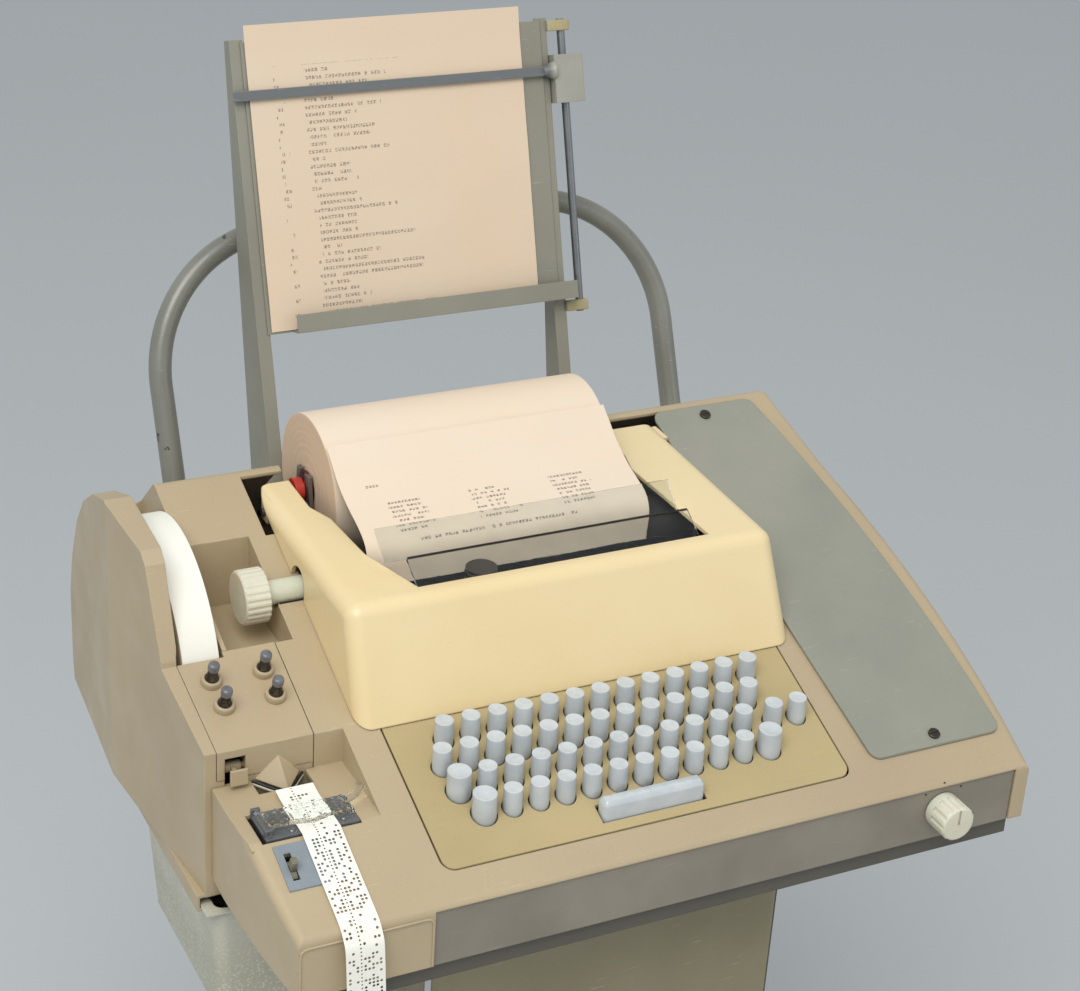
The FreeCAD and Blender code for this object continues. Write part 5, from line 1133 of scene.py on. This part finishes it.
class TELEPRINTER_OT_trim(bpy.types.Operator):
    """Builds the cover's lip, knob marks, window edge and flap, guide rod and brackets, and type faces"""
    bl_idname = "teleprinter.trim"
    bl_label = "Small trim"

    def execute(self, context):
        bm = bmesh.new()
        lip = [(-268.2, 641.0), (-268.2, 672.0), (-267.6, 675.4), (-265.4, 677.2), (-262.0, 677.6),
               (-230.0, 677.6), (-186.0, 677.6), (-183.0, 677.0), (-181.2, 675.0), (-180.8, 672.0),
               (-180.8, 641.0)]
        sweep(bm, [(x, -235.2, z) for x, z in lip], 1.5, 1.5, up=(0, -1, 0))
        finish_piece("cover_lip", bm, "cabinet", MATERIALS["cover"])
        bm = bmesh.new()
        for turned in (-45, 0, 45):
            a = math.radians(turned)
            turn(bm, (198.8 + 20.5 * math.sin(a), -233.45, 663.0 + 20.5 * math.cos(a)), (0, -1, 0),
                 [(0, 0), (0, 0.9), (0.12, 0.85), (0.15, 0)], steps=16)
        finish_piece("knob_marks", bm, "cabinet", MATERIALS["black"])
        bm = bmesh.new()
        sweep(bm, [(-121.0, -41.6, 818.7), (-30.0, -41.6, 818.7), (91.5, -41.6, 818.7)], 1.3, 1.5)
        finish_piece("window_edge", bm, "hood", MATERIALS["dark_screw"])
        bm = bmesh.new()
        flap = [(-42.4, 818.6), (-36.5, 823.6), (-30.5, 829.3), (-24.6, 835.2)]
        strip(bm, flap, -138.0, 84.0, 12, 1.5)
        finish_piece("window_flap", bm, "hood", MATERIALS["clear"])
        bm = bmesh.new()
        turn(bm, (110.0, 2.0, -117.0), (0, 0, 1), [(0, 3.02), (0, 3.04), (204.5, 3.04), (204.5, 3.02)],
             steps=64, closed=True, place=ON_HOLDER)
        finish_piece("guide_rod", bm, "cabinet", MATERIALS["rod"])
        bm = bmesh.new()
        for low in (-124.5, 87.6):
            block(bm, 97.4, 115.6, -2.5, 6.5, low, low + 8.0, 0.8, place=ON_HOLDER)
        finish_piece("rod_brackets", bm, "cabinet", MATERIALS["bracket"])
        bm = bmesh.new()
        for row in range(4):
            for i in range(16):
                angle = 2 * math.pi * (i + 0.5 * (row % 2)) / 16
                place = (Matrix.Translation((-58.0, -25.0, 768.6 + 6.0 * row)) @ Matrix.Rotation(angle, 4, "Z")
                         @ Matrix.Translation((10.7, 0, 0)))
                block(bm, -0.6, 0.75, -0.9, 0.9, 0.0, 2.3, 0.25, place=place)
        finish_piece("type_faces", bm, "type_wheel", MATERIALS["type_metal"])
        return {"FINISHED"}


class TELEPRINTER_OT_chads(bpy.types.Operator):
    """Fills the chad bin with a low heap of punched-out discs"""
    bl_idname = "teleprinter.chads"
    bl_label = "Chads"

    def execute(self, context):
        x0, x1, y0, y1, floor = -268.0, -176.0, -100.0, 40.0, 529.0

        def heap(x, y):
            u, v = (x - x0) / (x1 - x0), (y - y0) / (y1 - y0)
            rise = math.sin(math.pi * min(max(u, 0), 1)) * math.sin(math.pi * min(max(v, 0), 1))
            return floor + 8 + 16 * rise + 1.5 * noise.noise(Vector((x * 0.08, y * 0.08, 1)))

        bm = bmesh.new()
        columns, rows = 40, 56
        top = [[bm.verts.new((x0 + (x1 - x0) * i / columns, y0 + (y1 - y0) * j / rows,
                              heap(x0 + (x1 - x0) * i / columns, y0 + (y1 - y0) * j / rows)))
                for j in range(rows + 1)] for i in range(columns + 1)]
        for i in range(columns):
            for j in range(rows):
                bm.faces.new((top[i][j], top[i + 1][j], top[i + 1][j + 1], top[i][j + 1]))
        edge = ([top[i][0] for i in range(columns + 1)] + [top[columns][j] for j in range(1, rows + 1)]
                + [top[i][rows] for i in range(columns - 1, -1, -1)]
                + [top[0][j] for j in range(rows - 1, 0, -1)])
        low = [bm.verts.new((v.co.x, v.co.y, floor)) for v in edge]
        bridge(bm, low, edge)
        bm.faces.new(low)
        draw = random.Random(12)
        for _ in range(sizes().chads):
            x, y = draw.uniform(x0 + 2, x1 - 2), draw.uniform(y0 + 2, y1 - 2)
            tilt = (Matrix.Rotation(draw.uniform(-0.5, 0.5), 4, "X")
                    @ Matrix.Rotation(draw.uniform(-0.5, 0.5), 4, "Y"))
            place = Matrix.Translation((x, y, heap(x, y) + 0.3)) @ tilt
            turn(bm, (0, 0, 0), (0, 0, 1), [(0, 0), (0, 0.92), (0.12, 0.92), (0.12, 0)], steps=7, place=place)
        finish_piece("chad_heap", bm, "chad_bin", MATERIALS["tape"])
        return {"FINISHED"}


# Right, up and backward directions of the camera
CAMERA_AXES = ((0.89691, -0.43849, 0.05722), (0.15108, 0.42547, 0.89227), (-0.41560, -0.79165, 0.44786))
CAMERA_PLACE = (-0.66395, -1.28770, 1.54746)
LAMP_AIM = (0.0, 0.0, 0.75)


class TELEPRINTER_OT_studio(bpy.types.Operator):
    """Sets the plain floor, the soft light and the camera"""
    bl_idname = "teleprinter.studio"
    bl_label = "Studio"

    def execute(self, context):
        scene = context.scene
        studio = scene.teleprinter_studio
        scene.view_settings.view_transform = "Standard"
        bm = bmesh.new()
        bmesh.ops.create_grid(bm, x_segments=24, y_segments=24, size=16.0)
        mesh = bpy.data.meshes.new("floor")
        bm.to_mesh(mesh)
        bm.free()
        floor = bpy.data.objects.new("floor", mesh)
        scene.collection.objects.link(floor)
        material, tree, shader = new_material("floor_paint", studio.floor)
        shade = rgba(tuple(c * 0.94 for c in studio.floor))
        tone = use_group(tree, "Tone drift", {"Colour": rgba(studio.floor), "Tint": shade, "Scale": 0.8,
                                              "Amount": 0.25, "Speck": 0.0})
        tree.links.new(tone["Colour"], shader.inputs["Base Color"])
        shader.inputs["Roughness"].default_value = 0.9
        mesh.materials.append(material)
        world = bpy.data.worlds.new("sky")
        scene.world = world
        world.use_nodes = True
        sky = world.node_tree.nodes["Background"]
        sky.inputs["Color"].default_value = (0.95, 0.975, 1.0, 1)
        sky.inputs["Strength"].default_value = studio.sky
        for name, place, size, power, tone in (
                ("main_lamp", (-1.3, -1.5, 3.3), 2.2, studio.key_lamp, (1.0, 0.985, 0.95)),
                ("second_lamp", (2.2, -2.6, 1.9), 1.8, studio.fill_lamp, (1.0, 0.97, 0.93))):
            lamp = bpy.data.lights.new(name, "AREA")
            lamp.shape = "DISK"
            lamp.size = size
            lamp.energy = power
            lamp.color = tone
            holder = bpy.data.objects.new(name, lamp)
            holder.location = place
            holder.rotation_euler = (Vector(LAMP_AIM) - Vector(place)).to_track_quat("-Z", "Y").to_euler()
            scene.collection.objects.link(holder)
        lens = bpy.data.cameras.new("camera")
        lens.sensor_fit = "HORIZONTAL"
        lens.sensor_width = 36.0
        lens.lens = studio.lens
        lens.clip_start = 0.05
        camera = bpy.data.objects.new("camera", lens)
        camera.matrix_world = Matrix.Translation(CAMERA_PLACE) @ Matrix(CAMERA_AXES).transposed().to_4x4()
        scene.collection.objects.link(camera)
        scene.camera = camera
        return {"FINISHED"}


STEPS = (TELEPRINTER_OT_finishes, TELEPRINTER_OT_studio, TELEPRINTER_OT_keyboard, TELEPRINTER_OT_paper_roll,
         TELEPRINTER_OT_printed_page, TELEPRINTER_OT_copy_sheet, TELEPRINTER_OT_ribbon, TELEPRINTER_OT_belt,
         TELEPRINTER_OT_punched_tape, TELEPRINTER_OT_tape_roll, TELEPRINTER_OT_punch_controls,
         TELEPRINTER_OT_reader, TELEPRINTER_OT_trim, TELEPRINTER_OT_chads)


class TELEPRINTER_PT_panel(bpy.types.Panel):
    """Lists the teleprinter's pieces, sizes and colours"""
    bl_idname = "TELEPRINTER_PT_panel"
    bl_label = "Teleprinter"
    bl_space_type = "VIEW_3D"
    bl_region_type = "UI"
    bl_category = "Teleprinter"

    def draw(self, context):
        layout = self.layout
        for step in STEPS:
            layout.operator(step.bl_idname)
        for group in ("teleprinter_colours", "teleprinter_sizes", "teleprinter_studio"):
            settings = getattr(context.scene, group)
            box = layout.box()
            for name in settings.__annotations__:
                box.prop(settings, name)


SETTINGS = {"teleprinter_colours": TeleprinterColours, "teleprinter_sizes": TeleprinterSizes,
            "teleprinter_studio": TeleprinterStudio}
CLASSES = (*SETTINGS.values(), *STEPS, TELEPRINTER_PT_panel)


def register():
    """Adds the settings, the operators and the panel to Blender."""
    for cls in CLASSES:
        bpy.utils.register_class(cls)
    for name, cls in SETTINGS.items():
        setattr(bpy.types.Scene, name, bpy.props.PointerProperty(type=cls))


def unregister():
    """Takes them out again."""
    for name in SETTINGS:
        delattr(bpy.types.Scene, name)
    for cls in reversed(CLASSES):
        bpy.utils.unregister_class(cls)


def main():
    """Builds every piece in order."""
    register()
    for step in STEPS:
        group, name = step.bl_idname.split(".")
        getattr(getattr(bpy.ops, group), name)()


if __name__ == "__main__":
    main()
